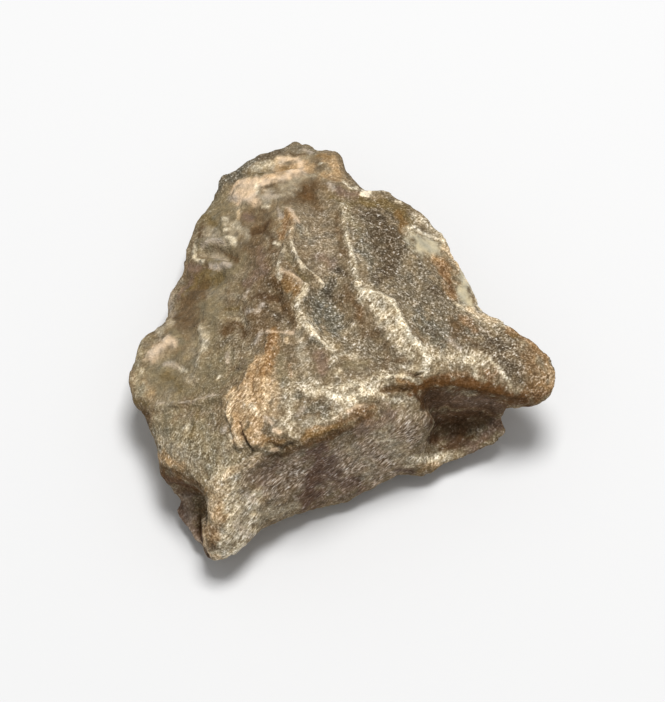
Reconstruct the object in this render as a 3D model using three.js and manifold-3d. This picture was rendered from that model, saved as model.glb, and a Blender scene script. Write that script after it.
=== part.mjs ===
// A lunar meteorite: one broken and desert-worn stone of feldspar breccia, about 24 mm across.
//
// The stone is a single solid. Its corners are written as short lines of points, each line one edge,
// crest or hollow of the broken surface. Seen from a core point inside the stone, no corner hides
// another, so the corners are joined into facets in the order of their directions from that core.
// The hollows that undercut the surface, and two notches, are then cut out. Last, the facets are divided,
// worn round along their edges, roughened, and ground flat at the foot.
//
// Units are millimetres. The finished stone rests on the plane z = 0 with +Z up and its broad face
// up and towards -Y. Its origin is below the middle of its bounding box.

import * as THREE from "three";
import Module from "manifold-3d";
import { ConvexGeometry } from "three/addons/geometries/ConvexGeometry.js";
import { ConvexHull } from "three/addons/math/ConvexHull.js";
import { ImprovedNoise } from "three/addons/math/ImprovedNoise.js";
import { TessellateModifier } from "three/addons/modifiers/TessellateModifier.js";
import { mergeVertices } from "three/addons/utils/BufferGeometryUtils.js";

// Driving dimensions.
const LEAN = THREE.MathUtils.degToRad(25); // of the plane that the broad face is measured in
const CORE = [-0.5, -2.0, 4.0]; // sees every corner, in the resting frame
const LONGEST_EDGE = 0.85; // of a small facet
const SPLITS = 24; // more rounds of dividing than the longest facet needs
const WEAR = [0.6, -0.3, 0.6, -0.3, 0.6]; // how far each pass moves a point to its neighbours' middle
const COTANGENTS = [0.05, 4]; // least and most that an angle counts for in that middle
const NOTCH_ENDS = [-6, 12]; // of each notch, out from the broad face's plane
const SLIVER = 1e-9; // the least area that a facet's angles are worked out with
const GRINDER = { span: 60, depth: 4 }; // the block that grinds the foot, more than it has to reach

// Roughness of the broken surface: the length of its waves and their height.
const ROUGHNESS = [
  { wave: 3.4, height: 0.16 },
  { wave: 1.5, height: 0.12 },
];

// Corners on the broad face and round its rim: [right, up the face's plane, height above the table].
const faceLines = {
  backRim: [
    [-4.7, 11.8, 3.3], [-3.3, 12.0, 3.3], [-2.8, 12.4, 3.4], [-2.0, 12.2, 3.9], [-1.3, 11.7, 4.1],
    [-0.4, 11.7, 4.3], [0.5, 10.1, 4.8], [1.2, 9.1, 5.2], [2.3, 9.3, 4.8], [3.4, 8.8, 4.8],
    [4.6, 8.1, 4.8], [6.2, 6.6, 4.8], [7.0, 4.8, 4.9], [7.6, 3.3, 5.1],
  ],
  horn: [
    [8.3, 2.1, 5.2], [9.8, 1.4, 5.4], [11.0, 0.8, 5.6], [12.0, 0.0, 5.7], [12.4, -1.6, 5.6],
    [12.0, -2.6, 5.2], [11.3, -3.2, 4.8], [10.0, -3.2, 4.6], [9.1, -3.2, 4.3],
  ],
  hornTop: [[9.5, -0.5, 6.7], [11.0, -1.2, 6.4], [10.6, -2.2, 6.2], [8.2, 0.2, 6.7]],
  ledgeRim: [
    [9.0, -3.9, 2.6], [9.5, -4.9, 2.0], [8.2, -5.7, 1.4], [6.8, -6.2, 1.3], [5.8, -6.8, 1.2],
    [5.1, -7.2, 1.0],
  ],
  overhang: [[4.7, -1.85, 7.3], [6.4, -1.9, 7.0], [8.2, -2.1, 6.6], [9.6, -2.6, 6.2]],
  brow: [
    [-5.3, -5.3, 7.9], [-4.0, -5.15, 8.4], [-2.6, -5.2, 8.5], [-1.0, -4.7, 8.7],
    [0.3, -4.0, 8.7], [1.2, -2.9, 8.5],
  ],
  bulgeTop: [[2.4, -2.6, 7.8], [3.9, -2.5, 7.4]],
  shelf: [[2.0, -1.6, 8.2], [3.3, -1.5, 8.0], [3.6, -2.1, 7.5]],
  bulge: [
    [4.4, -3.0, 6.8], [5.3, -4.2, 5.5], [5.1, -5.0, 4.3], [4.2, -5.9, 3.0],
    [3.0, -3.9, 6.9], [2.6, -5.3, 5.0],
  ],
  frontWall: [[0.5, -6.0, 4.9], [-1.5, -6.8, 4.8], [-3.3, -7.2, 5.0], [-4.7, -8.3, 4.9]],
  frontRim: [
    [3.2, -7.1, 1.2], [1.5, -8.0, 1.0], [0.3, -8.7, 0.9], [-1.5, -9.3, 0.8], [-2.9, -9.5, 1.5],
    [-4.4, -10.0, 2.3],
  ],
  nose: [
    [-5.4, -11.2, 2.6], [-6.2, -11.9, 2.4], [-7.3, -12.1, 1.7], [-7.7, -11.3, 2.4],
    [-8.0, -10.1, 3.3], [-7.7, -9.0, 4.3], [-7.7, -8.0, 5.3],
  ],
  noseCrest: [
    [-6.1, -6.4, 7.2], [-6.6, -7.7, 6.5], [-6.9, -9.3, 5.4], [-6.9, -10.9, 4.0], [-5.8, -9.5, 4.8],
  ],
  lobe: [[-8.0, -11.0, 1.1], [-8.9, -10.1, 1.0], [-9.4, -8.8, 1.1]],
  socketRim: [[-10.0, -6.5, 4.3], [-9.1, -7.0, 4.8], [-8.3, -7.3, 5.3]],
  leftRim: [
    [-10.1, -7.3, 2.9], [-10.3, -6.0, 3.6], [-11.0, -4.1, 3.9], [-11.9, -3.2, 4.0],
    [-12.3, -1.9, 4.1], [-11.9, -0.2, 4.1], [-11.3, 0.8, 3.9],
  ],
  shoulder: [[-10.7, -3.1, 4.9], [-8.3, -2.9, 5.9], [-6.4, -2.7, 7.3], [-9.8, -4.6, 5.3], [-8.0, -5.2, 6.3]],
  flake: [[-5.4, -3.6, 8.2], [-4.4, -2.4, 8.4], [-4.9, -0.8, 8.0]],
  leftBackRim: [
    [-10.1, 1.4, 3.2], [-10.2, 3.1, 3.0], [-9.2, 4.5, 3.0], [-9.0, 6.2, 3.0], [-7.7, 8.7, 3.0],
    [-7.2, 9.8, 3.0], [-5.8, 10.8, 3.2],
  ],
  leftFacet: [
    [-8.5, 0.5, 5.4], [-7.3, 3.0, 5.2], [-6.5, 5.8, 5.0], [-6.0, 8.2, 4.6],
    [-4.6, 0.5, 7.6], [-4.3, 3.0, 7.2], [-4.2, 6.2, 6.6], [-4.0, 8.6, 5.6],
  ],
  top: [[-2.0, 10.0, 5.2], [-4.2, 10.2, 4.6], [-0.6, 9.6, 5.6]],
  paleRidge: [
    [-2.8, 7.6, 6.9], [-2.9, 5.9, 7.5], [-3.2, 4.4, 7.9], [-2.0, 3.4, 8.1],
    [-2.3, 2.2, 8.2], [-1.6, 0.7, 8.4], [-0.6, -0.4, 8.5],
  ],
  trough: [[-1.2, 6.5, 6.6], [-0.6, 3.2, 7.3], [0.0, 1.6, 7.6], [1.6, 0.3, 7.8], [2.9, -0.5, 7.8]],
  veinRidge: [
    [0.1, 8.0, 6.4], [0.4, 6.2, 7.1], [0.8, 4.3, 7.7], [2.0, 3.1, 8.0],
    [3.2, 1.6, 8.2], [4.3, 0.1, 8.1], [5.0, -0.8, 7.8],
  ],
  frontBand: [[-1.5, -2.0, 8.8], [0.8, -1.9, 8.7], [-3.4, -2.6, 8.6], [-3.0, -0.5, 8.2]],
  rightFace: [
    [2.8, 6.4, 6.6], [3.8, 4.2, 6.9], [5.2, 2.4, 6.9], [6.6, 0.8, 6.9], [5.4, 5.2, 5.8], [6.3, 3.4, 5.9],
  ],
};

// Blocks cut out of the broad face where it is undercut: [right, up the face's plane, out from it].
const hollowLines = {
  mouthRoof: {
    lip: [[4.3, -2.2, 8.7], [6.4, -2.1, 8.4], [8.2, -2.35, 8.0], [9.4, -2.9, 7.2], [11.0, -3.35, 6.6]],
    root: [[5.3, -3.9, 4.6], [7.0, -4.1, 3.9], [9.0, -3.5, 5.6], [10.6, -3.6, 5.8]],
    opening: [
      [4.3, -2.2, 12], [4.3, -2.8, 12], [5.5, -4.1, 12], [9.4, -2.9, 12], [11.0, -3.35, 12], [10.6, -4.0, 12],
    ],
  },
  mouthFloor: {
    root: [[5.3, -3.9, 4.6], [5.1, -4.7, 4.4], [7.0, -4.1, 3.9], [9.0, -3.5, 5.6], [10.6, -3.6, 5.8]],
    lip: [[4.4, -6.1, 5.3], [6.3, -6.7, 4.7], [8.2, -6.2, 4.8], [10.2, -4.9, 5.5]],
    opening: [
      [5.5, -4.1, 12], [5.2, -4.9, 12], [4.4, -5.7, 12], [8.2, -6.2, 12], [10.2, -4.9, 12], [10.6, -4.0, 12],
    ],
  },
  socket: {
    root: [[-7.0, -8.7, 6.1], [-7.4, -10.1, 6.5], [-8.2, -7.7, 6.0]],
    roof: [[-8.2, -7.4, 10.6], [-9.5, -7.2, 10.0], [-10.6, -7.4, 7.9]],
    floor: [[-8.0, -11.6, 7.1], [-9.2, -10.4, 6.3], [-9.8, -8.6, 5.3], [-10.6, -7.6, 6.0]],
    opening: [[-7.6, -8.2, 11], [-7.6, -9.3, 11], [-8.0, -10.6, 10.5], [-8.4, -12.0, 8.9]],
  },
};

// Notches cut through the rim, square to the face's plane: [right, up the face's plane].
const notches = {
  left: [[-8.95, -8.4], [-10.1, -7.1], [-11.5, -7.4], [-11.5, -9.6], [-9.3, -8.75]],
  back: [[0.0, 10.9], [0.5, 9.9], [1.2, 9.1], [2.1, 9.1], [3.0, 9.8], [1.6, 11.6]],
};

// Corners of the hidden underside, measured as the stone rests: [right, back, height above the table].
const underLines = {
  foot: [
    [-4.6, -4.6, -0.3], [-1.4, -6.2, -0.3], [2.2, -4.6, -0.3], [3.4, -0.9, -0.3], [1.0, 2.4, -0.3],
    [-2.6, 2.9, -0.3], [-5.2, -0.6, -0.3],
  ],
  belly: [
    [-6.4, -7.0, 0.3], [3.4, -6.6, 0.5], [6.0, -2.0, 0.9], [4.0, 3.2, 0.8], [-2.0, 6.0, 0.7],
    [-7.0, 1.6, 0.8],
  ],
  backWall: [[-7.2, 6.8, 1.6], [-2.5, 9.4, 1.5], [3.6, 6.0, 1.8], [7.2, 0.2, 2.4]],
  underHorn: [[9.6, -3.4, 3.4], [7.2, -4.4, 1.0]],
  leftWall: [[-9.6, -3.0, 1.8], [-8.2, 3.0, 1.4], [-7.8, -8.0, 0.8]],
  underNose: [[-7.0, -11.4, 0.3], [-4.0, -9.6, 0.2]],
};

const ACROSS = new THREE.Vector3(1, 0, 0); // the line that the broad face leans about
const wasm = await Module();
wasm.setup();

/** A point measured with the broad face, in the resting frame. */
function leaned([right, up, out]) {
  return new THREE.Vector3(right, up, out).applyAxisAngle(ACROSS, LEAN);
}

/** A corner of the broad face, in the resting frame. */
function onFace([right, up, height]) {
  return leaned([right, up, (height - up * Math.sin(LEAN)) / Math.cos(LEAN)]);
}

/** Every corner in the resting frame. */
function restingCorners() {
  const face = Object.values(faceLines).flat().map(onFace);
  const under = Object.values(underLines).flat().map((p) => new THREE.Vector3(...p));
  return [...face, ...under];
}

/** The facets between the corners, as triangles of corners. */
function facets(corners, core) {
  const cornerOf = new Map(corners.map((c) => [c.clone().sub(core).normalize(), c]));
  const hull = new ConvexHull().setFromPoints([...cornerOf.keys()]);
  return hull.faces.map((face) => {
    const first = face.edge;
    return [first, first.next, first.next.next].map((edge) => cornerOf.get(edge.head().point));
  });
}

/** The corners of each block that is cut out, in the resting frame. */
function cutCorners() {
  const hollows = Object.values(hollowLines).map((lines) => Object.values(lines).flat());
  const prisms = Object.values(notches).map(
    (outline) => NOTCH_ENDS.flatMap((out) => outline.map(([right, up]) => [right, up, out])));
  return [...hollows, ...prisms].map((points) => points.map(leaned));
}

/** The whole facets, less the undercut hollows and the notches. */
function hollowed(triangles) {
  const whole = solidOf(new THREE.BufferGeometry().setFromPoints(triangles.flat()));
  const blocks = cutCorners().map((points) => solidOf(new ConvexGeometry(points)));
  return geometryOf(blocks.reduce((rest, block) => rest.subtract(block), whole));
}

/** The geometry in small facets, indexed, with nothing but its positions. */
function divided(geometry) {
  const fine = new TessellateModifier(LONGEST_EDGE, SPLITS).modify(geometry);
  return mergeVertices(fine, 1e-4);
}

/** For each vertex, its neighbours, each counting by the angles that face the edge to it. */
function neighbours(geometry) {
  const position = geometry.getAttribute("position");
  const index = geometry.index.array;
  const around = Array.from({ length: position.count }, () => new Map());
  const count = (from, to, weight) => around[from].set(to, (around[from].get(to) ?? 0) + weight);
  for (let i = 0; i < index.length; i += 3) {
    for (let k = 0; k < 3; k++) {
      const [apex, left, right] = [k, k + 1, k + 2].map((n) => index[i + (n % 3)]);
      const [toLeft, toRight] = [left, right].map(
        (n) => new THREE.Vector3().fromBufferAttribute(position, n)
          .sub(new THREE.Vector3().fromBufferAttribute(position, apex)));
      const area = Math.max(toLeft.clone().cross(toRight).length(), SLIVER);
      const cotangent = toLeft.dot(toRight) / area;
      const weight = THREE.MathUtils.clamp(cotangent, ...COTANGENTS);
      count(left, right, weight);
      count(right, left, weight);
    }
  }
  return around;
}

/** Rounds the edges off. A pass with a negative share swells them again, so that little is lost. */
function wear(geometry, shares) {
  const position = geometry.getAttribute("position");
  for (const share of shares) {
    const around = neighbours(geometry);
    const before = around.map((_, i) => new THREE.Vector3().fromBufferAttribute(position, i));
    around.forEach((near, i) => {
      const middle = new THREE.Vector3();
      let total = 0;
      near.forEach((weight, n) => {
        middle.addScaledVector(before[n], weight);
        total += weight;
      });
      const worn = before[i].clone().lerp(middle.divideScalar(total), share);
      position.setXYZ(i, worn.x, worn.y, worn.z);
    });
  }
}

/** Moves each vertex in or out by a smooth noise, so that no facet is quite flat. */
function roughen(geometry, waves) {
  geometry.computeVertexNormals();
  const noise = new ImprovedNoise();
  const position = geometry.getAttribute("position");
  const normal = geometry.getAttribute("normal");
  for (let i = 0; i < position.count; i++) {
    const p = new THREE.Vector3().fromBufferAttribute(position, i);
    const n = new THREE.Vector3().fromBufferAttribute(normal, i);
    const out = waves.reduce(
      (sum, { wave, height }) => sum + height * noise.noise(p.x / wave, p.y / wave, p.z / wave), 0);
    p.addScaledVector(n, out);
    position.setXYZ(i, p.x, p.y, p.z);
  }
}

/** A closed geometry as a manifold-3d solid. */
function solidOf(geometry) {
  const bare = geometry.clone();
  bare.deleteAttribute("normal");
  bare.deleteAttribute("uv");
  const merged = mergeVertices(bare, 1e-4);
  return new wasm.Manifold(new wasm.Mesh({
    numProp: 3,
    vertProperties: merged.getAttribute("position").array,
    triVerts: new Uint32Array(merged.index.array),
  }));
}

/** A manifold-3d solid as a geometry. */
function geometryOf(solid) {
  const { vertProperties, triVerts } = solid.getMesh();
  const geometry = new THREE.BufferGeometry();
  geometry.setAttribute("position", new THREE.BufferAttribute(vertProperties, 3));
  geometry.setIndex(new THREE.BufferAttribute(triVerts, 1));
  return geometry;
}

/** Grinds off what stands below the table, which leaves the flat foot. */
function groundFlat(geometry) {
  const { span, depth } = GRINDER;
  const below = new THREE.BoxGeometry(span, span, depth).translate(0, 0, -depth / 2);
  return geometryOf(solidOf(geometry).subtract(solidOf(below)));
}

/** Puts the origin below the middle of the geometry's box. */
function centred(geometry) {
  geometry.computeBoundingBox();
  const middle = geometry.boundingBox.getCenter(new THREE.Vector3());
  return geometry.translate(-middle.x, -middle.y, 0);
}

/** The whole stone. */
function stoneGeometry() {
  const geometry = divided(hollowed(facets(restingCorners(), new THREE.Vector3(...CORE))));
  wear(geometry, WEAR);
  roughen(geometry, ROUGHNESS);
  const stone = centred(groundFlat(geometry));
  stone.computeVertexNormals();
  return stone;
}

const stoneMaterial = new THREE.MeshStandardMaterial({ color: 0x8a7d68, roughness: 0.75, metalness: 0 });
const stone = new THREE.Mesh(stoneGeometry(), stoneMaterial);
stone.name = "stone";

const meteorite = new THREE.Group();
meteorite.name = "lunar_meteorite";
meteorite.add(stone);

export default meteorite;
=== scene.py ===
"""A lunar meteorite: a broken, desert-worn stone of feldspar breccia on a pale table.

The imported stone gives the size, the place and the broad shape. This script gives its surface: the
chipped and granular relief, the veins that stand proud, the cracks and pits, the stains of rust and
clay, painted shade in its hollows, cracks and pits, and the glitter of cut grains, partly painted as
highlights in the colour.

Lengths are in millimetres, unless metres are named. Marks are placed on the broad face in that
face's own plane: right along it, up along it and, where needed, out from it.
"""

from __future__ import annotations

import logging
import math
from collections.abc import Iterable, Mapping
from dataclasses import dataclass
from enum import Enum
from typing import Any

import bmesh
import bpy
import numpy as np
from bpy.types import ID, Material, Mesh, NodeSocket, Object
from mathutils import Matrix, Vector, noise
from mathutils.bvhtree import BVHTree


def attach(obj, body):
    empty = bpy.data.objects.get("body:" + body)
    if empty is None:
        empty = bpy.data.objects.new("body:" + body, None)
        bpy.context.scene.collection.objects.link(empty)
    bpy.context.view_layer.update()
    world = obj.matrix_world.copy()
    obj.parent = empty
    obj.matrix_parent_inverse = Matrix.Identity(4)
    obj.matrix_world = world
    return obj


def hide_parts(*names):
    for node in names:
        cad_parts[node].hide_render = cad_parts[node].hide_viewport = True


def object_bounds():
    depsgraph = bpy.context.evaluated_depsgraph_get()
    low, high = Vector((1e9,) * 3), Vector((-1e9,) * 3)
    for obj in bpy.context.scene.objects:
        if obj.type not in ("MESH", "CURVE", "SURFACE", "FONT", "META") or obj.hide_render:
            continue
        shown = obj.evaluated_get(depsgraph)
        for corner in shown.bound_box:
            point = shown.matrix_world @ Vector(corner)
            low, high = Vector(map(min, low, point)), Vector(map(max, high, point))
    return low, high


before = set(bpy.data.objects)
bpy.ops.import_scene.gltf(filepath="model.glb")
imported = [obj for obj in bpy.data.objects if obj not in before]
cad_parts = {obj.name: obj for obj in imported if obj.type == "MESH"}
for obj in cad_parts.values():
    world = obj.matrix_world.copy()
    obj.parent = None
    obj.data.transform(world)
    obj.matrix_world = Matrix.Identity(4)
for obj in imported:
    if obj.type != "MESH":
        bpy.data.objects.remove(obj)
CAD_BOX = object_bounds()

LOG = logging.getLogger("meteorite")
MM = 0.001  # A millimetre in metres.
SEED = 7  # Without one, vector noise starts from the clock and no two runs are alike.

Pair = tuple[float, float]
Triple = tuple[float, float, float]
Shade = tuple[float, float, float, float]  # Red, green, blue and cover, in linear light.
Line = tuple[float, ...]  # Right and up of each corner in turn.
Rows = np.ndarray  # A number or a row of them for each point.

RAGGED = 1.3  # How torn a stroke's edge is, for each millimetre of its width.
MOST_RAGGED = 0.6


# ---- The broad face

@dataclass(frozen=True)
class BroadFace:
    """The plane that the marks of the broad face are measured in.

    Attributes:
        lean: Degrees from the level to the plane, about the stone's left-right line.
        origin: Where the plane's measures start, in the row frame.
    """

    lean: float = 25.0
    origin: Triple = (-0.052, 1.130, 0.0)

    @property
    def turn(self) -> Matrix:
        """The turn from the face's plane to the row frame."""
        return Matrix.Rotation(math.radians(self.lean), 3, "X")

    @property
    def outwards(self) -> Vector:
        """The way out of the plane, in the row frame."""
        return self.turn @ Vector((0.0, 0.0, 1.0))

    def place(self, right: float, up: float, out: float) -> Vector:
        """A point of the plane's measures, in the row frame."""
        return self.turn @ Vector((right, up, out)) + Vector(self.origin)

    def measured(self, points: Rows) -> Rows:
        """Rows of points in the row frame as rows of right, up and out."""
        return (points - np.array(self.origin)) @ np.array(self.turn)


FACE = BroadFace()


# ---- Colours

@dataclass(frozen=True)
class Tone:
    """What a stain brings to the surface.

    Attributes:
        shade: Its colour as six hexadecimal digits.
        grain: How strongly pale and dark grains show in it, from 0 to 1.
        fibre: How much of that grain is drawn out into fibres, from 0 to 1.
        gloss: How smooth and glassy it is, from 0 to 1.
    """

    shade: str
    grain: float = 0.4
    fibre: float = 0.3
    gloss: float = 0.0

    @property
    def values(self) -> Rows:
        """What the stain brings, for mixing.

        Returns:
            Its colour in linear light, by the sRGB rule, then grain, fibre and gloss, as one row.
        """
        parts = (int(self.shade[i:i + 2], 16) / 255 for i in (0, 2, 4))
        linear = (p / 12.92 if p <= 0.04045 else ((p + 0.055) / 1.055) ** 2.4 for p in parts)
        return np.array([*linear, self.grain, self.fibre, self.gloss])


class Hue(Enum):
    """The colours that the stone is made up of."""

    MATRIX = Tone("7b6c55", 0.50)
    BROWN = Tone("6b5942", 0.50)
    UMBER = Tone("5d4931", 0.40, 0.2)
    # A deep brown for painted shade in hollows, dishes, grooves, cracks and pits.
    DEEP_SHADE = Tone("46311d", 0.35, 0.5)
    OLIVE = Tone("6e5d3b", 0.50, 0.2)
    MOSS = Tone("7f735a", 0.45)
    DRAB = Tone("877964", 0.60, 0.2)
    SAGE = Tone("968a70", 0.80, 0.5)
    GREY = Tone("786d5a", 0.75, 0.3)
    SLATE = Tone("6c6759", 0.68, 0.15)
    COAL = Tone("584c3b", 0.62, 0.15)
    HORN = Tone("786a55", 0.95, 0.5)
    ASH = Tone("a0947e", 0.60, 0.4)
    MAUVE = Tone("7f6a5a", 0.45, 0.4)
    LILAC = Tone("b5a796", 0.35, 0.2)
    WALL = Tone("9c8b78", 0.85, 0.9)
    LOW_WALL = Tone("695447", 0.50, 0.9)
    # A brown for painted shade in the undercut hollow, the socket and patches of the wall below the brow.
    HOLLOW_SHADE = Tone("5f4836", 0.35, 0.7)
    # A near black for painted shade in pits and at the ends of cracks.
    PIT_SHADE = Tone("38271a", 0.10, 0.1)
    TAN = Tone("ae926e", 0.70, 0.5)
    SAND = Tone("cdb694", 0.78, 0.5)
    AMBER = Tone("94744e", 0.70, 0.5)
    OCHRE = Tone("765c37", 0.55, 0.4)
    RUST = Tone("806344", 0.70, 0.4)
    BURNT = Tone("5b3f22", 0.30, 0.3)
    CREAM = Tone("b3a68d", 0.85, 0.5)
    PALE = Tone("dbcfb5", 0.75, 0.4)
    PINK = Tone("d8c0a4", 0.25, 0.2)
    NOSE = Tone("bdb199", 0.82, 0.6)
    # White grains, and sparkles and a ridge's crest painted white as highlights.
    WHITE_AND_GLINT = Tone("f4e8cf", 0.30, 0.1)
    GLASS = Tone("bcb298", 0.10, 0.0, 0.9)


@dataclass(frozen=True)
class Stain:
    """A stroke of colour on the broad face.

    Attributes:
        hue: Its colour.
        line: The line it follows.
        width: From that line to its edge.
        strength: How much of the colour below it hides at most.
        fade: The share of its width over which it fades out.
        through: Whether it also colours what lies hidden behind the face, as in a hollow.
    """

    hue: Hue
    line: Line
    width: float
    strength: float = 0.8
    fade: float = 0.9
    through: bool = False

    @property
    def ragged(self) -> float:
        """How torn its edge is, from 0 to 1: a hairline keeps a clean edge."""
        return min(MOST_RAGGED, RAGGED * self.width)


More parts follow.
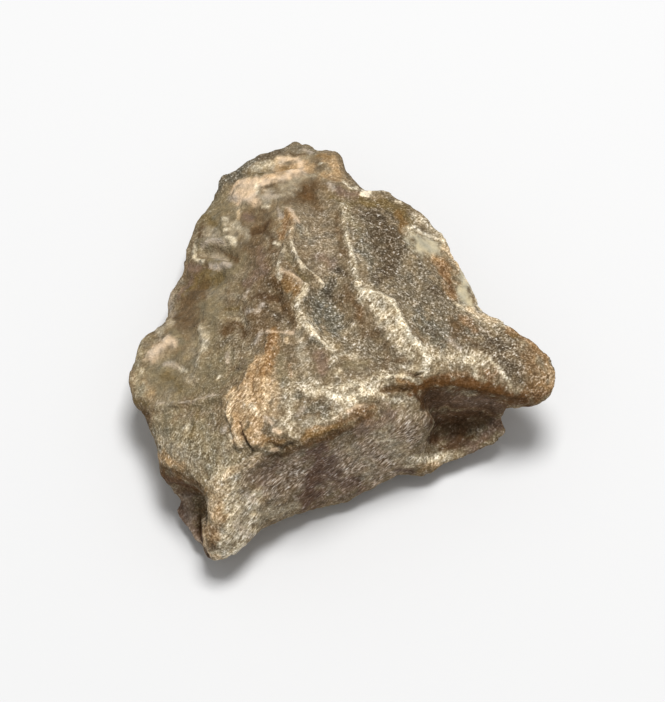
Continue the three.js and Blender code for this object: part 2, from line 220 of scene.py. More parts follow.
# In the order of laying, with strength, fade and through where they aren't the usual ones.
STAINS: tuple[Stain, ...] = tuple(Stain(*row) for row in (
    # The ground colour of each facet.
    (Hue.MOSS, (-7.5, 7.8, -7, 4.5, -7.8, 2), 2.6, 0.9),
    (Hue.BROWN, (-4.8, 6.2, -4.4, 4.4, -4.4, 1.6), 1.7, 0.9),
    (Hue.BROWN, (-8.3, 4.4, -8.5, 3.2, -8.7, 1.8), 1.3, 1),
    (Hue.MOSS, (-10.5, -1, -8.6, -1.8, -6.8, -0.8), 2.2, 0.9),
    (Hue.SAGE, (-10, -4.6, -8, -5, -6.8, -6.4), 2, 0.9),
    (Hue.MOSS, (-9.2, -4.2, -7.8, -4.2, -7, -4.9), 1, 0.6),
    (Hue.ASH, (-9.9, -4.9, -9.2, -5.6, -8, -6.3), 0.6),
    (Hue.DRAB, (-1.6, 7.6, -1.3, 6, -0.9, 4.6), 1.5, 0.9),
    (Hue.GREY, (1.9, 6.9, 3.5, 4, 5.5, 2.2, 7.2, 0.6), 2.5, 0.95),
    (Hue.COAL, (1.8, 6.8, 3, 6), 1.1, 0.6),
    (Hue.GREY, (0.2, 0.9, 1.8, 0.1, 3.2, -0.7), 1.2, 0.9),
    (Hue.WALL, (-4.2, -7.4, -1, -6.8, 2, -6, 3.4, -4.4), 2, 0.95),
    (Hue.HORN, (8.4, 0.4, 10.4, -1), 2, 0.9),
    # The wall below the brow, with patches of painted shade.
    (Hue.LOW_WALL, (-1.2, -5.6, -1.4, -6.8, -1.8, -8.2), 1, 1),
    (Hue.LOW_WALL, (-0.7, -6.2, -0.2, -7.3, 0.9, -7.4), 0.7),
    (Hue.LOW_WALL, (-2, -8.9, -1, -8.6, 1, -7.8), 0.4, 0.4),
    (Hue.LOW_WALL, (-4.7, -7.6, -4.2, -6.9, -3.6, -6.1), 0.75, 0.5, 1.1),
    (Hue.HOLLOW_SHADE, (-4.3, -7.4, -3.9, -7, -3.5, -6.3), 0.3, 0.3),
    (Hue.HOLLOW_SHADE, (-1.6, -7.1, -0.9, -7.4), 0.3, 0.6),
    (Hue.HOLLOW_SHADE, (-2.1, -8.3, -1.7, -8), 0.35, 0.7),
    (Hue.WALL, (-2.5, -5.9, -2.6, -6.8, -3, -7.8), 0.55),
    (Hue.ASH, (0.4, -5.3, 0.9, -5.9, 1.8, -6.3, 1.4, -7), 0.5, 0.7),
    (Hue.ASH, (3.3, -5.6, 2.6, -5, 2.3, -4.3), 0.8, 0.9),
    (Hue.ASH, (-4.6, -9, -3.6, -8.9, -2.6, -8.6), 0.55, 0.9),
    (Hue.MAUVE, (0.8, -4.4, 2.3, -3.9, 3, -3.4), 0.5, 0.7),
    (Hue.ASH, (-3.8, -9.3, -2.6, -9.2), 0.2, 0.5),
    (Hue.WHITE_AND_GLINT, (2.3, -4.95, 2.9, -5.02), 0.06),
    # The crown.
    (Hue.ASH, (-4.3, 8.7, -3.2, 8.8, -2.6, 9.3), 0.5, 0.9),
    (Hue.LILAC, (-4.2, 8.8, -3.6, 8.8), 0.3, 0.7),
    (Hue.COAL, (-7.1, 9.1, -6.4, 9.8, -5.5, 10.5, -4.6, 11.1, -3.4, 11.4), 0.5, 0.7),
    (Hue.PALE, (-5, 10.45, -4.2, 10.65, -3.6, 10.7), 0.36, 0.5, 1),
    (Hue.SAND, (-3.6, 10.9, -2.9, 11), 0.3, 0.9),
    (Hue.OLIVE, (-5.3, 10.15, -4.4, 10), 0.14),
    (Hue.PINK, (-5.8, 9.4, -4.6, 9.5, -3.7, 9.7, -2.9, 9.9, -2.3, 10.15), 0.45, 1, 1),
    (Hue.PINK, (-5.7, 8.95, -4.95, 9.1), 0.8, 1),
    (Hue.PINK, (-5.7, 8.5, -4.9, 8.45), 0.4, 1),
    (Hue.TAN, (-4.2, 9.8, -3.2, 9.95), 0.26, 0.75, 1.1),
    (Hue.TAN, (-3.6, 10.35, -3.2, 10.5, -2.1, 10.6, -1.7, 10.3), 0.4, 0.9),
    (Hue.PINK, (-3.4, 10.95, -2.6, 10.95, -2.2, 10.5), 0.34, 0.9, 1),
    (Hue.PALE, (-4.7, 9.4, -4.6, 8.9), 0.22, 0.7),
    (Hue.OCHRE, (-3.3, 10.5, -2.9, 10.4), 0.2, 0.7),
    (Hue.UMBER, (-4.3, 9.1, -3.6, 9.3), 0.06, 0.6, 0.5),
    (Hue.ASH, (-3.4, 9.2, -2.6, 9.6, -2, 9.9, -1.4, 9.95), 0.18),
    (Hue.UMBER, (-3, 11.25, -2, 11.2), 0.13),
    (Hue.GREY, (-3.1, 11.5, -2.4, 11.7, -1.6, 11.4), 0.4, 0.9),
    (Hue.LILAC, (-2.3, 11.55, -1.7, 11.35), 0.14, 0.7),
    (Hue.LILAC, (-6.45, 8.65, -6, 8.6), 0.22, 1),
    (Hue.PALE, (-4.5, 8.15, -4.1, 8.2), 0.12),
    (Hue.MOSS, (-6.9, 8.9, -6.6, 8.2, -7.4, 7.9), 0.4, 0.7),
    (Hue.TAN, (-0.9, 11.1, -0.3, 10.5, -0.1, 10, -0.9, 9.9), 0.5, 0.85),
    (Hue.OCHRE, (-1.2, 11.1, -0.7, 11), 0.25),
    (Hue.BROWN, (-1.4, 10.9, -1.2, 10.3), 0.35, 0.6),
    (Hue.WHITE_AND_GLINT, (-1.15, 10.6, -1.05, 10.6), 0.09),
    (Hue.BROWN, (-2.9, 8.6, -2.1, 9.1, -1.4, 9.4, -0.8, 9.3), 0.8, 0.9, 1.1),
    (Hue.UMBER, (-2.3, 8.9, -1.6, 9, -1.4, 8.2), 0.7, 0.9, 1.1),
    (Hue.BURNT, (-2.1, 9.2, -1.7, 8.8), 0.4, 0.4, 1.1),
    (Hue.LILAC, (-0.7, 9.5, -0.4, 9.1), 0.2),
    (Hue.MAUVE, (0, 9, 0.9, 8.9), 0.42),
    (Hue.PALE, (0.1, 9.6, 0.35, 9.5), 0.12),
    (Hue.PALE, (0.5, 9.3, 0.9, 9.3), 0.12),
    # The right face.
    (Hue.COAL, (2, 7.6, 2.8, 6.6, 2.7, 5.4, 2.6, 4.2), 1, 1),
    (Hue.COAL, (1.2, 7.8, 2.2, 7.6), 0.4, 0.7),
    (Hue.SLATE, (0.9, 7, 1.3, 6, 1.5, 4.9), 0.6, 0.7),
    (Hue.COAL, (5, 3.5, 5.5, 3.2), 0.5, 0.9),
    (Hue.SLATE, (4.6, 1.8, 4.9, 1.2, 5.4, 0.7), 0.8),
    (Hue.COAL, (4.8, 1.3, 5.2, 1), 0.4, 0.6),
    (Hue.UMBER, (6.3, 1.8, 6.4, 0.9), 0.38, 0.7),
    (Hue.OLIVE, (1.3, 8.5, 2.2, 8.4, 3, 8.1, 3.9, 7.5), 0.6, 0.95, 1.1),
    (Hue.OCHRE, (3.3, 7.6, 3.5, 7.1, 3.6, 6.8), 0.45, 0.9),
    (Hue.OLIVE, (-0.6, 8.7, 0.4, 8.3, 1.2, 8.4), 0.3, 0.7),
    (Hue.CREAM, (4.2, 7.6, 5, 7.2, 5.7, 6.7, 6.2, 6.1), 0.35, 0.9),
    (Hue.GLASS, (4.1, 6.5, 4.5, 5.9, 5.4, 5.7), 0.75, 1),
    (Hue.WHITE_AND_GLINT, (4.3, 6.8, 5.1, 6.65, 5.9, 6.3), 0.15, 0.7),
    (Hue.PALE, (3.9, 6.9, 4.3, 7.1), 0.14),
    (Hue.WHITE_AND_GLINT, (1.25, 9, 1.6, 9), 0.2, 1, 0.4),
    (Hue.WHITE_AND_GLINT, (3, 8.5, 3.35, 8.4), 0.07),
    (Hue.SAND, (5.9, 5.8, 6.4, 5.3, 6.7, 4.6, 6.9, 4.2), 0.32, 0.95),
    (Hue.AMBER, (5.4, 5.2, 5.8, 4.6, 6.1, 3.8, 6.2, 3.2), 0.55, 0.9, 1.1),
    (Hue.RUST, (5.6, 4.9, 5.9, 4.3, 6.2, 3.8, 6.2, 3.3), 0.35, 0.7, 1.1),
    (Hue.BURNT, (6.15, 3.8, 6.2, 3.3), 0.25, 0.7),
    (Hue.GLASS, (6.9, 4.2, 6.85, 3.4, 7, 2.9, 7.3, 2.5), 0.5, 1, 0.9, True),
    (Hue.PALE, (6.3, 2.75, 6.9, 2.35), 0.08),
    (Hue.CREAM, (6.9, 2.3, 7.8, 2, 8.6, 1.6, 9.2, 1.4), 0.5, 0.9),
    (Hue.SAND, (7.2, 2.3, 7.9, 2, 8.6, 1.6), 0.35, 0.6),
    (Hue.PALE, (7.1, 4.2, 7.4, 3.6, 7.7, 3, 7.9, 2.4), 0.3, 0.7, 0.9, True),
    (Hue.RUST, (6.7, 1.8, 7.2, 1.6, 7.4, 1.2), 0.4, 0.7, 1.1),
    # The trough between the two pale ridges.
    (Hue.UMBER, (-0.2, 7.6, -0.1, 6.4, 0.1, 5.6, 0.3, 5.2), 0.28, 0.7),
    (Hue.MAUVE, (-1.3, 5.3, -0.6, 5), 0.5, 0.6),
    (Hue.COAL, (-0.1, 4.5, 0.4, 4.3), 0.34, 1),
    (Hue.SLATE, (-0.6, 3.8, -0.8, 3, -1.4, 2.7, -1.2, 1.9), 0.85, 0.95),
    (Hue.SLATE, (-0.6, 2.4, -0.3, 1.6), 0.75, 0.95),
    (Hue.COAL, (-0.5, 3.9, -0.6, 3.2, 0, 2.9), 0.4, 0.7),
    (Hue.BROWN, (0.3, 3.5, 0.6, 2.8), 0.4),
    (Hue.UMBER, (0.6, 3, 1, 2.4, 1.2, 1.6), 0.6, 0.85, 1.1),
    (Hue.RUST, (1, 2.4, 1.15, 1.8), 0.3, 0.4),
    (Hue.ASH, (0, 1.2, 0.9, 1.3), 0.26, 0.6),
    (Hue.UMBER, (1.3, 0.9, 2.1, 1), 0.35, 0.7),
    (Hue.BROWN, (2.5, 0.5, 2.5, -0.3, 2.4, -0.9), 0.34, 0.7),
    (Hue.UMBER, (3.1, -0.5, 3.6, -0.4), 0.3, 0.7),
    (Hue.MAUVE, (-1.2, -0.3, -1, -1.3), 0.48),
    (Hue.MOSS, (0.2, -0.8, 1.3, -0.8), 0.35, 0.7),
    (Hue.CREAM, (0, -0.1, 0.8, -0.3), 0.2),
    # The left face.
    (Hue.BROWN, (-5.4, 7.6, -4.6, 7.5, -4, 7.2), 0.75, 0.9),
    (Hue.UMBER, (-5.1, 6.9, -4.4, 7.1, -3.9, 6.3, -4, 5.7), 0.4),
    # Painted shade in a shallow dish.
    (Hue.DEEP_SHADE, (-5, 6.7, -4.5, 6.9, -4.1, 7.4), 0.26, 0.6),
    (Hue.MAUVE, (-5.4, 7.6, -5, 7.4), 0.35),
    (Hue.MAUVE, (-4.6, 5.6, -4.4, 4.6, -5.2, 3.9), 0.5, 0.6),
    (Hue.MOSS, (-5.9, 4.6, -5.4, 5.2), 0.5, 0.6),
    (Hue.OLIVE, (-7.8, 7.6, -7.2, 7.2), 0.4, 0.7),
    (Hue.UMBER, (-7.8, 7, -8, 6.6, -7.4, 6.5), 0.36, 0.9),
    (Hue.UMBER, (-7.3, 6.6, -6.9, 6.4), 0.2),
    (Hue.UMBER, (-7.2, 5.8, -6.4, 5.5, -6, 5.2), 0.32, 0.9),
    (Hue.UMBER, (-8, 5.5, -7.7, 5.4), 0.22, 0.7),
    (Hue.MAUVE, (-8.8, 4.8, -8.2, 4.7), 0.32),
    (Hue.OLIVE, (-8.8, 3.4, -8.3, 3.9, -7.6, 4.1, -7, 4.3), 0.5, 0.9),
    (Hue.UMBER, (-8.6, 2.9, -8.2, 3.7, -7.6, 4), 0.4, 0.6),
    (Hue.MAUVE, (-8.6, 4.2, -9.2, 3), 0.22, 0.7),
    (Hue.GREY, (-9.3, 4, -9.5, 3.1, -9.7, 2.2), 0.4),
    (Hue.ASH, (-9.5, 1.6, -10, 1.3, -10.4, 1), 0.28, 0.9),
    (Hue.UMBER, (-9.3, 1.9, -8.8, 1.8), 0.28),
    (Hue.ASH, (-7.3, 3.3, -6.2, 3.1), 0.5, 0.5),
    (Hue.OLIVE, (-6.4, 2.4, -5.8, 2.6), 0.25),
    (Hue.UMBER, (-6.6, 1.1, -6, 1.7, -5.5, 1.2), 0.5, 1),
    # Painted shade along a groove and a dish.
    (Hue.DEEP_SHADE, (-5.1, 2.9, -4.4, 3.1, -3.7, 3.1, -3.2, 2.6), 0.3, 0.7),
    (Hue.COAL, (-4.3, 2.5, -3.6, 2, -3, 1.7), 0.36, 0.7),
    (Hue.COAL, (-5.9, -0.9, -5.6, -1), 0.16, 0.9),
    (Hue.COAL, (-6.8, 0.2, -6.2, 0.6, -5.7, 0), 0.5, 0.5),
    (Hue.ASH, (-7.5, 6.6, -6.6, 6.1, -6, 6.9), 0.6),
    (Hue.ASH, (-7.7, 5.6, -6.9, 5.4), 0.45, 0.7),
    (Hue.PALE, (-6.6, 7.5, -6.5, 7.45), 0.2),
    (Hue.PALE, (-6.5, 6.8), 0.18),
    (Hue.CREAM, (-6.4, 7.2, -5.8, 7), 0.38),
    (Hue.SAND, (-5.85, 8, -5.8, 7.5), 0.2, 0.7),
    (Hue.ASH, (-5.4, 6.85, -5.3, 6.5), 0.24),
    (Hue.PALE, (-6.3, 6.4, -6, 6.2), 0.24),
    (Hue.LILAC, (-7.8, 6, -7.2, 6.2, -6.5, 6.1), 0.2, 0.9),
    (Hue.PALE, (-8.35, 6, -8.35, 5.5, -8.2, 5.1, -7.8, 4.95), 0.2, 0.9),
    (Hue.LILAC, (-7.3, 4.75, -6.8, 4.75, -6.3, 4.9), 0.19, 0.95),
    (Hue.LILAC, (-7.4, 5.4, -6.7, 5.2), 0.25, 0.6),
    (Hue.LILAC, (-5.3, 2.2, -4.7, 2.2, -4.4, 2.6), 0.2),
    (Hue.LILAC, (-5.2, 3.4, -5.4, 3), 0.12),
    (Hue.LILAC, (-4.7, 0.5, -4.5, 1), 0.2),
    (Hue.PALE, (-7.8, 1.1, -7.65, 0.6, -7.7, 0.1), 0.3, 0.8, 1),
    (Hue.CREAM, (-7.8, 1.2, -7.6, 0.4, -7.9, -0.4, -8.1, -1.1), 0.38, 0.8, 1.1),
    (Hue.ASH, (-8.5, -1.5, -8.2, -1.7), 0.34),
    (Hue.LILAC, (-6.4, -0.1, -6.3, -0.7), 0.14),
    (Hue.PALE, (-6.85, -1.45, -6.75, -1.4), 0.13, 0.9),
    # The left rim and the shoulder.
    (Hue.SAGE, (-11.2, 0.6, -11.5, -0.3, -11.3, -1.2), 0.4, 0.7),
    (Hue.TAN, (-11.6, -1.4, -11.1, -1.9, -10.9, -2.4), 0.7, 0.6, 1.1),
    (Hue.SAGE, (-11.5, -1.2, -11.3, -2.2), 0.5, 0.7),
    (Hue.PINK, (-10.7, -0.4, -10.1, 0.1, -9.6, 0.5), 0.6, 1, 1),
    (Hue.MOSS, (-9.4, 1, -9, 0.6), 0.4),
    (Hue.TAN, (-10.2, 0.35, -10, 0.3), 0.14),
    (Hue.LILAC, (-9.9, -0.7, -9.4, -0.7, -9, -0.9), 0.22, 0.8, 1),
    (Hue.PALE, (-9.1, -0.9, -8.7, -1.1), 0.15),
    (Hue.OLIVE, (-10, -1.3, -9.4, -1.5, -8.9, -2.1), 0.35, 0.6),
    (Hue.OLIVE, (-11.5, -2.8, -10.9, -3), 0.24, 0.6),
    (Hue.UMBER, (-11.3, -3.4, -10.95, -3.7, -10.7, -4.4, -10.45, -5.3), 0.15),
    (Hue.LILAC, (-10.3, -3, -9.9, -2.9), 0.12),
    (Hue.LILAC, (-9.4, -2.9, -8.5, -2.85, -7.3, -2.5, -6.9, -2.45), 0.1, 0.7),
    (Hue.MOSS, (-9.9, -3.6, -9.6, -4.5), 0.45, 0.7),
    (Hue.OLIVE, (-8, -3.2, -8.2, -4.2, -8.4, -4.8), 0.22, 0.6),
    (Hue.PALE, (-8.7, -4.4, -8.55, -4.1), 0.14),
    (Hue.LILAC, (-6.6, -4.4, -6.4, -4.2), 0.2, 0.7),
    (Hue.ASH, (-6.4, -5.2, -6.7, -6.4), 0.4, 0.6),
    # A sparkle painted white: a painted highlight.
    (Hue.WHITE_AND_GLINT, (-6.15, -4.6, -6.05, -4.95), 0.13, 1, 0.6),
    (Hue.TAN, (-10, -5.9, -9.5, -6.2, -8.9, -6.5), 0.45, 0.8, 1.1),
    (Hue.UMBER, (-10.1, -6.5, -9.4, -6.7, -8.6, -7.05, -7.9, -7.4, -7.6, -7.8), 0.24, 0.95),
    (Hue.BURNT, (-10, -6.95, -9.3, -7.2, -8.5, -7.5, -7.9, -7.9), 0.36, 0.9, 0.8),
    (Hue.MAUVE, (-9.2, -7.8, -8.6, -8.2), 0.3, 0.7),
    # The nose, with painted shade in its pit, in the socket by the lobe and in the groove beside it.
    (Hue.NOSE, (-6.4, -7.2, -6.3, -8, -6.4, -9.6, -6.6, -11.2), 1.1, 1),
    (Hue.NOSE, (-4.9, -7.9, -4.9, -9.2, -5.6, -10.6), 0.8, 0.95),
    (Hue.ASH, (-5.6, -8.4, -5.3, -9.6), 0.3, 0.5),
    (Hue.LILAC, (-5.2, -7.9, -4.9, -8.3), 0.25, 0.7),
    (Hue.SAND, (-6.8, -7.6, -6.8, -8.6, -7, -9.4, -7.1, -10.2), 0.85, 0.9, 1.1),
    (Hue.TAN, (-6.7, -8.4, -6.8, -9.6, -7.1, -10.4), 0.7, 0.65, 1.1),
    (Hue.CREAM, (-6.8, -10.9, -6.5, -11.2), 0.35, 0.7),
    (Hue.AMBER, (-6.7, -8.9, -6.6, -9.6), 0.3, 0.5),
    (Hue.RUST, (-7.2, -10, -7.25, -10.5, -7.1, -10.9), 0.5, 0.8, 1.1),
    (Hue.PALE, (-6, -8.8, -6.25, -9.6, -6.45, -10.3, -6.8, -10.9), 0.14),
    (Hue.PALE, (-7, -11.4, -6.1, -11.3, -5.5, -10.9), 0.4),
    (Hue.LILAC, (-5.9, -9.6, -5.5, -9.8, -5.1, -10.4), 0.28, 0.6),
    (Hue.PIT_SHADE, (-7.25, -10.8, -7.1, -11), 0.1, 0.9),
    (Hue.OCHRE, (-7.45, -7.6, -7.55, -8), 0.14),
    (Hue.MOSS, (-4.6, -9.3, -4.1, -9.2), 0.26, 0.5),
    (Hue.MAUVE, (-8.8, -8.5, -8.6, -9.6, -8.3, -10.5, -7.8, -11.6), 0.65, 1, 0.4),
    (Hue.LILAC, (-8.7, -8.2, -8.5, -9, -8.4, -10.2, -7.9, -11.2), 0.45, 0.6),
    (Hue.SAND, (-7.65, -9.3, -7.72, -10, -7.65, -10.8, -7.3, -11.4, -6.7, -11.6), 0.12, 0.9, 0.5),
    (Hue.DEEP_SHADE, (-8.1, -8.1, -7.85, -8.5, -7.85, -8.9), 0.25, 0.3),
    (Hue.DEEP_SHADE, (-7.85, -9.2, -7.98, -10, -7.9, -10.8, -7.5, -11.6), 0.12, 0.95, 0.6),
    # The tan flake and what lies round it.
    (Hue.MOSS, (-3.4, -0.4, -3.3, -1.8), 0.5, 0.7),
    (Hue.ASH, (-3.6, -2, -3.6, -3.4, -3.6, -4.2), 0.45, 0.7),
    (Hue.TAN, (-4.7, -1.2, -5, -2, -5.6, -2.9, -5.7, -4.6), 0.62, 1, 0.5),
    (Hue.TAN, (-4.3, -0.6, -4.5, -2, -4.5, -3.6, -4.7, -4.9), 0.62, 1, 0.5),
    (Hue.SAND, (-6.1, -2.4, -5.9, -2.6, -6.2, -3.3, -6.1, -3.9), 0.32, 1),
    (Hue.SAND, (-5.2, -2.3, -5, -3.4, -4.5, -3.6), 0.36, 0.9),
    (Hue.SAND, (-5.8, -4.5, -5.55, -5.2), 0.24),
    (Hue.TAN, (-3.8, -1.2, -3.7, -2.4, -3.6, -3.4), 0.55, 0.55, 1.1),
    (Hue.SAND, (-4.15, -1.6, -4.1, -2.6, -4.15, -3.6), 0.18, 0.9),
    (Hue.PALE, (-4.8, -3.2, -4.6, -3.5), 0.16, 0.7),
    (Hue.AMBER, (-5.6, -3.3, -5.6, -4.1), 0.2, 0.6),
    (Hue.AMBER, (-4.9, -1.4, -4.8, -2), 0.25, 0.5),
    (Hue.AMBER, (-3.7, 1, -3.8, 0.2, -4, -0.6, -4.3, -1.2), 0.48, 1, 0.8),
    (Hue.RUST, (-3.8, 0.6, -3.85, 0.1, -4, -0.2), 0.26, 0.7),
    (Hue.PINK, (-4.1, 1.15, -3.4, 1.1, -2.7, 1.1), 0.13),
    (Hue.SAND, (-3.1, 0.8, -3, 0.5), 0.15),
    # Painted shade in its cracks.
    (Hue.DEEP_SHADE, (-5.5, -4.1, -5.3, -4.7, -5.15, -5.1), 0.07, 1, 0.5),
    (Hue.PIT_SHADE, (-5.1, -5.2, -4.75, -5.45), 0.06, 0.8, 0.5),
    (Hue.PINK, (-4.1, -3.8, -3.85, -4), 0.16),
    (Hue.PINK, (-3.7, -4.3, -3.35, -4.5), 0.17, 0.9),
    (Hue.AMBER, (-4.2, -4.8, -3.8, -4.9, -3.2, -5), 0.25, 0.7),
    (Hue.SAND, (-6.4, -6.9, -5.5, -6.4, -4.6, -6), 0.35, 0.7),
    (Hue.UMBER, (-4.9, -7.1, -4.6, -6.6, -4.3, -6.1), 0.35, 0.5, 1.1),
    # The cream band above the brow.
    (Hue.CREAM, (-2.9, -2.2, -2.9, -3.2, -2.8, -4.5), 0.55),
    (Hue.ASH, (-2.3, 0.9, -2.3, 0, -2, -0.7), 0.45, 0.85),
    (Hue.CREAM, (-2.2, -1.9, -0.8, -2.1, 0.8, -1.8, 2.2, -1.6), 0.6, 0.95),
    (Hue.ASH, (-2.2, -4.1, -1, -3.8, 0.2, -3.3), 0.45, 0.9),
    (Hue.CREAM, (-1.2, -3.8, -0.2, -3.5, 0.6, -3), 0.25),
    (Hue.PALE, (-1.9, -2.3, -0.6, -2, 0.8, -1.9, 1.8, -2.1), 0.26, 0.5),
    (Hue.PALE, (-0.5, -2.6, 0.6, -2.5, 1.7, -2.3), 0.5, 1),
    (Hue.PALE, (-0.3, -1.3, -0.1, -1.1), 0.13, 0.7),
    (Hue.SLATE, (-2, -3.2, -1.1, -3, -0.8, -3.5), 0.5, 0.8, 1.1),
    (Hue.SLATE, (-2.5, -2.6, -2.3, -2.4), 0.26, 0.7),
    (Hue.LILAC, (-2.4, -3.5, -2.1, -3.2), 0.24, 0.7),
    (Hue.RUST, (-2.85, -0.8, -2.8, -1.4), 0.13, 0.6),
    # The brow.
    (Hue.OCHRE, (-2.1, -4.9, -1.4, -4.65, -0.7, -4.35, 0.1, -4), 0.32, 0.95),
    (Hue.AMBER, (-1.9, -4.5, -1.6, -4.35, -0.5, -4.1), 0.2, 0.6),
    (Hue.UMBER, (-3, -5.6, -2, -5.2, -1.3, -4.95, -0.5, -4.55, 0.5, -4.1), 0.32, 0.9, 1),
    (Hue.BURNT, (-2.9, -5.8, -2, -5.35, -1.3, -5.1, -0.6, -4.75, 0.3, -4.3), 0.16, 0.6),
    (Hue.RUST, (0.1, -3.8, 0.9, -3.4, 1.8, -3.1), 0.5, 0.75, 1.1),
    (Hue.PINK, (0.4, -3.3, 0.9, -3, 1.3, -3.05), 0.16, 0.6),
    (Hue.BURNT, (0.8, -3.85, 1.3, -3.7, 1.8, -3.5), 0.26, 0.7, 1.1),
    (Hue.OCHRE, (-4, -4.9, -3.6, -5.1, -3.2, -5.1), 0.22, 0.7),
    (Hue.UMBER, (-4, -5, -3.5, -5.25, -3, -5.6), 0.22, 0.9),
    (Hue.UMBER, (-4, -5.8, -3.4, -5.85, -2.9, -5.7), 0.2, 0.9),
    # Painted shade in a pit.
    (Hue.PIT_SHADE, (-2.8, -5.15, -2.6, -5.2), 0.12),
    (Hue.PINK, (-3.9, -5.5, -3.6, -5.6), 0.14, 0.9),
    # The shelf, the bulge and the lip of the ledge.
    (Hue.AMBER, (3.1, -1.7, 4.1, -1.95), 0.22, 0.9),
    (Hue.UMBER, (2.4, -2.2, 3.2, -2.05, 4.1, -2.2), 0.32, 1),
    (Hue.UMBER, (4, -5.7, 4.3, -5.6), 0.25, 0.6),
    # Painted shade in a pit.
    (Hue.DEEP_SHADE, (3.8, -1.3, 4.4, -1.4), 0.12, 0.9),
    (Hue.PALE, (2, -1.5, 2.8, -1.45, 3.4, -1.45, 3.9, -1.6, 4.5, -1.85), 0.09, 0.9, 0.5),
    (Hue.CREAM, (2, -2.5, 2.6, -2.65, 3.5, -2.85), 0.24),
    (Hue.PALE, (2.1, -2.45, 2.6, -2.6), 0.13),
    (Hue.WHITE_AND_GLINT, (2.9, -2.6, 3.4, -2.75), 0.1, 0.7),
    (Hue.CREAM, (3.9, -6.15, 5.2, -6.1, 6.1, -5.8), 0.5, 0.85),
    (Hue.PALE, (4.4, -6.2, 5.2, -6.1, 5.9, -5.8), 0.26, 0.75),
    (Hue.TAN, (4.4, -6.5, 5.4, -6.4), 0.3, 0.5),
    (Hue.OCHRE, (4.3, -6.75, 5.2, -6.6), 0.2, 0.5),
    (Hue.LOW_WALL, (3.1, -6.6, 4, -6.75), 0.25),
    # The undercut hollow, darkened with painted shade over the brown and mauve of its walls and ledge.
    (Hue.HOLLOW_SHADE, (4.9, -2.6, 6.5, -2.8, 8.6, -3.1), 0.8, 0.9, 0.5, True),
    (Hue.MAUVE, (6.4, -2.7, 8.6, -3), 0.4, 0.5, 0.9, True),
    (Hue.HOLLOW_SHADE, (5.4, -3.7, 6.8, -3.6), 0.8, 0.85, 0.8, True),
    (Hue.HOLLOW_SHADE, (5.2, -5, 6, -4.9, 6.8, -4.7), 0.5, 0.85, 0.9, True),
    (Hue.DEEP_SHADE, (5.4, -4.6, 6.3, -4.4, 7.2, -4.15, 8.2, -3.8), 0.95, 0.8, 0.9, True),
    (Hue.UMBER, (5.7, -5.5, 6.6, -5.2, 7.4, -4.8), 0.45, 1),
    (Hue.HOLLOW_SHADE, (6, -5.2, 7.2, -5), 0.4, 0.75),
    (Hue.MAUVE, (7.4, -5.3, 8.1, -4.8, 8.8, -4.2), 0.65, 0.9, 0.9, True),
    (Hue.DEEP_SHADE, (4.1, -2.4, 4.5, -3), 0.42, 1),
    # The horn.
    (Hue.CREAM, (4.8, -0.2, 5.8, -0.4, 7.2, -0.3, 7.9, -0.5), 0.65),
    (Hue.PALE, (7.1, -0.4, 7.6, -0.7), 0.3, 0.5),
    (Hue.PALE, (3.5, -0.9, 4.3, -1), 0.3, 0.3),
    (Hue.LILAC, (6, 0.6, 6.6, 0.2), 0.2, 0.7),
    (Hue.COAL, (8.2, 0.5, 8.8, 0.6, 9.1, 0.1), 0.36),
    (Hue.UMBER, (6.5, 1.6, 7, 0.8, 7.5, 0.3), 0.3, 0.7),
    (Hue.COAL, (9.2, -0.6, 9.8, -1.2, 10.1, -1.7), 0.55),
    (Hue.BROWN, (10.4, 0.2, 10.7, -0.8, 10.4, -1.7), 0.8, 0.8, 1.1),
    (Hue.AMBER, (10.7, -0.2, 10.9, -1.2, 10.7, -2), 0.8, 0.5, 1.1),
    (Hue.AMBER, (9.4, 1.1, 10.2, 0.8, 10.9, 0.3, 11.4, -0.4), 0.36, 0.75),
    (Hue.OCHRE, (9.5, 0.8, 9.9, 0.8), 0.22),
    (Hue.TAN, (11.5, -0.8, 11.8, -1.4, 11.7, -1.9), 0.35),
    (Hue.RUST, (10.2, -2.4, 11.4, -2.4), 0.5, 0.9, 0.9, True),
    (Hue.AMBER, (11.1, -1.9, 11.6, -2), 0.3),
    (Hue.RUST, (5.6, -1.5, 6.2, -1.35, 7, -1.3), 0.4, 0.75, 1.1),
    (Hue.RUST, (7.9, -1.3, 8.4, -1.5, 8.7, -1.3), 0.45, 0.85, 1.1),
    (Hue.BURNT, (8.8, -2.3, 9.6, -2.6, 10.4, -2.8), 0.55, 0.95),
    (Hue.UMBER, (9.4, -1.9, 10.4, -2), 0.35, 0.6),
    (Hue.PALE, (8.1, -0.3, 8.7, -0.8, 9.1, -1.4, 9.5, -1.9), 0.15, 0.75),
    (Hue.PALE, (7.4, -0.9, 7.5, -1.8), 0.13, 0.7),
    (Hue.BURNT, (4.1, -2.2, 4.8, -1.9, 5.6, -1.75, 6.8, -1.8, 7.8, -2, 8.8, -2.3), 0.58, 1, 0.7),
    # The pale ridge and what lies beside it.
    (Hue.UMBER, (-3.7, 3.7, -3.1, 3, -2.9, 2.2, -2.7, 1.6), 0.5, 0.85),
    (Hue.AMBER, (-3.1, 7.5, -3.15, 6.9, -3.25, 6.4), 0.5, 0.9, 1.1),
    (Hue.RUST, (-3.15, 7.2, -3.2, 6.6), 0.3, 0.6),
    (Hue.LILAC, (-3.5, 7.9, -3.4, 7.6), 0.22, 0.9),
    (Hue.PINK, (-2.9, 8, -2.7, 7.7, -2.55, 7.2), 0.24, 0.85, 1),
    (Hue.SAND, (-2.8, 6.9, -2.75, 6.2), 0.15, 0.5),
    (Hue.PALE, (-3.8, 6.15, -3.5, 6.05), 0.12, 0.9),
    (Hue.SLATE, (-2.4, 7, -2.2, 6.5), 0.28, 0.7),
    (Hue.CREAM, (-1.95, 6.9, -1.8, 6.4), 0.15, 0.7),
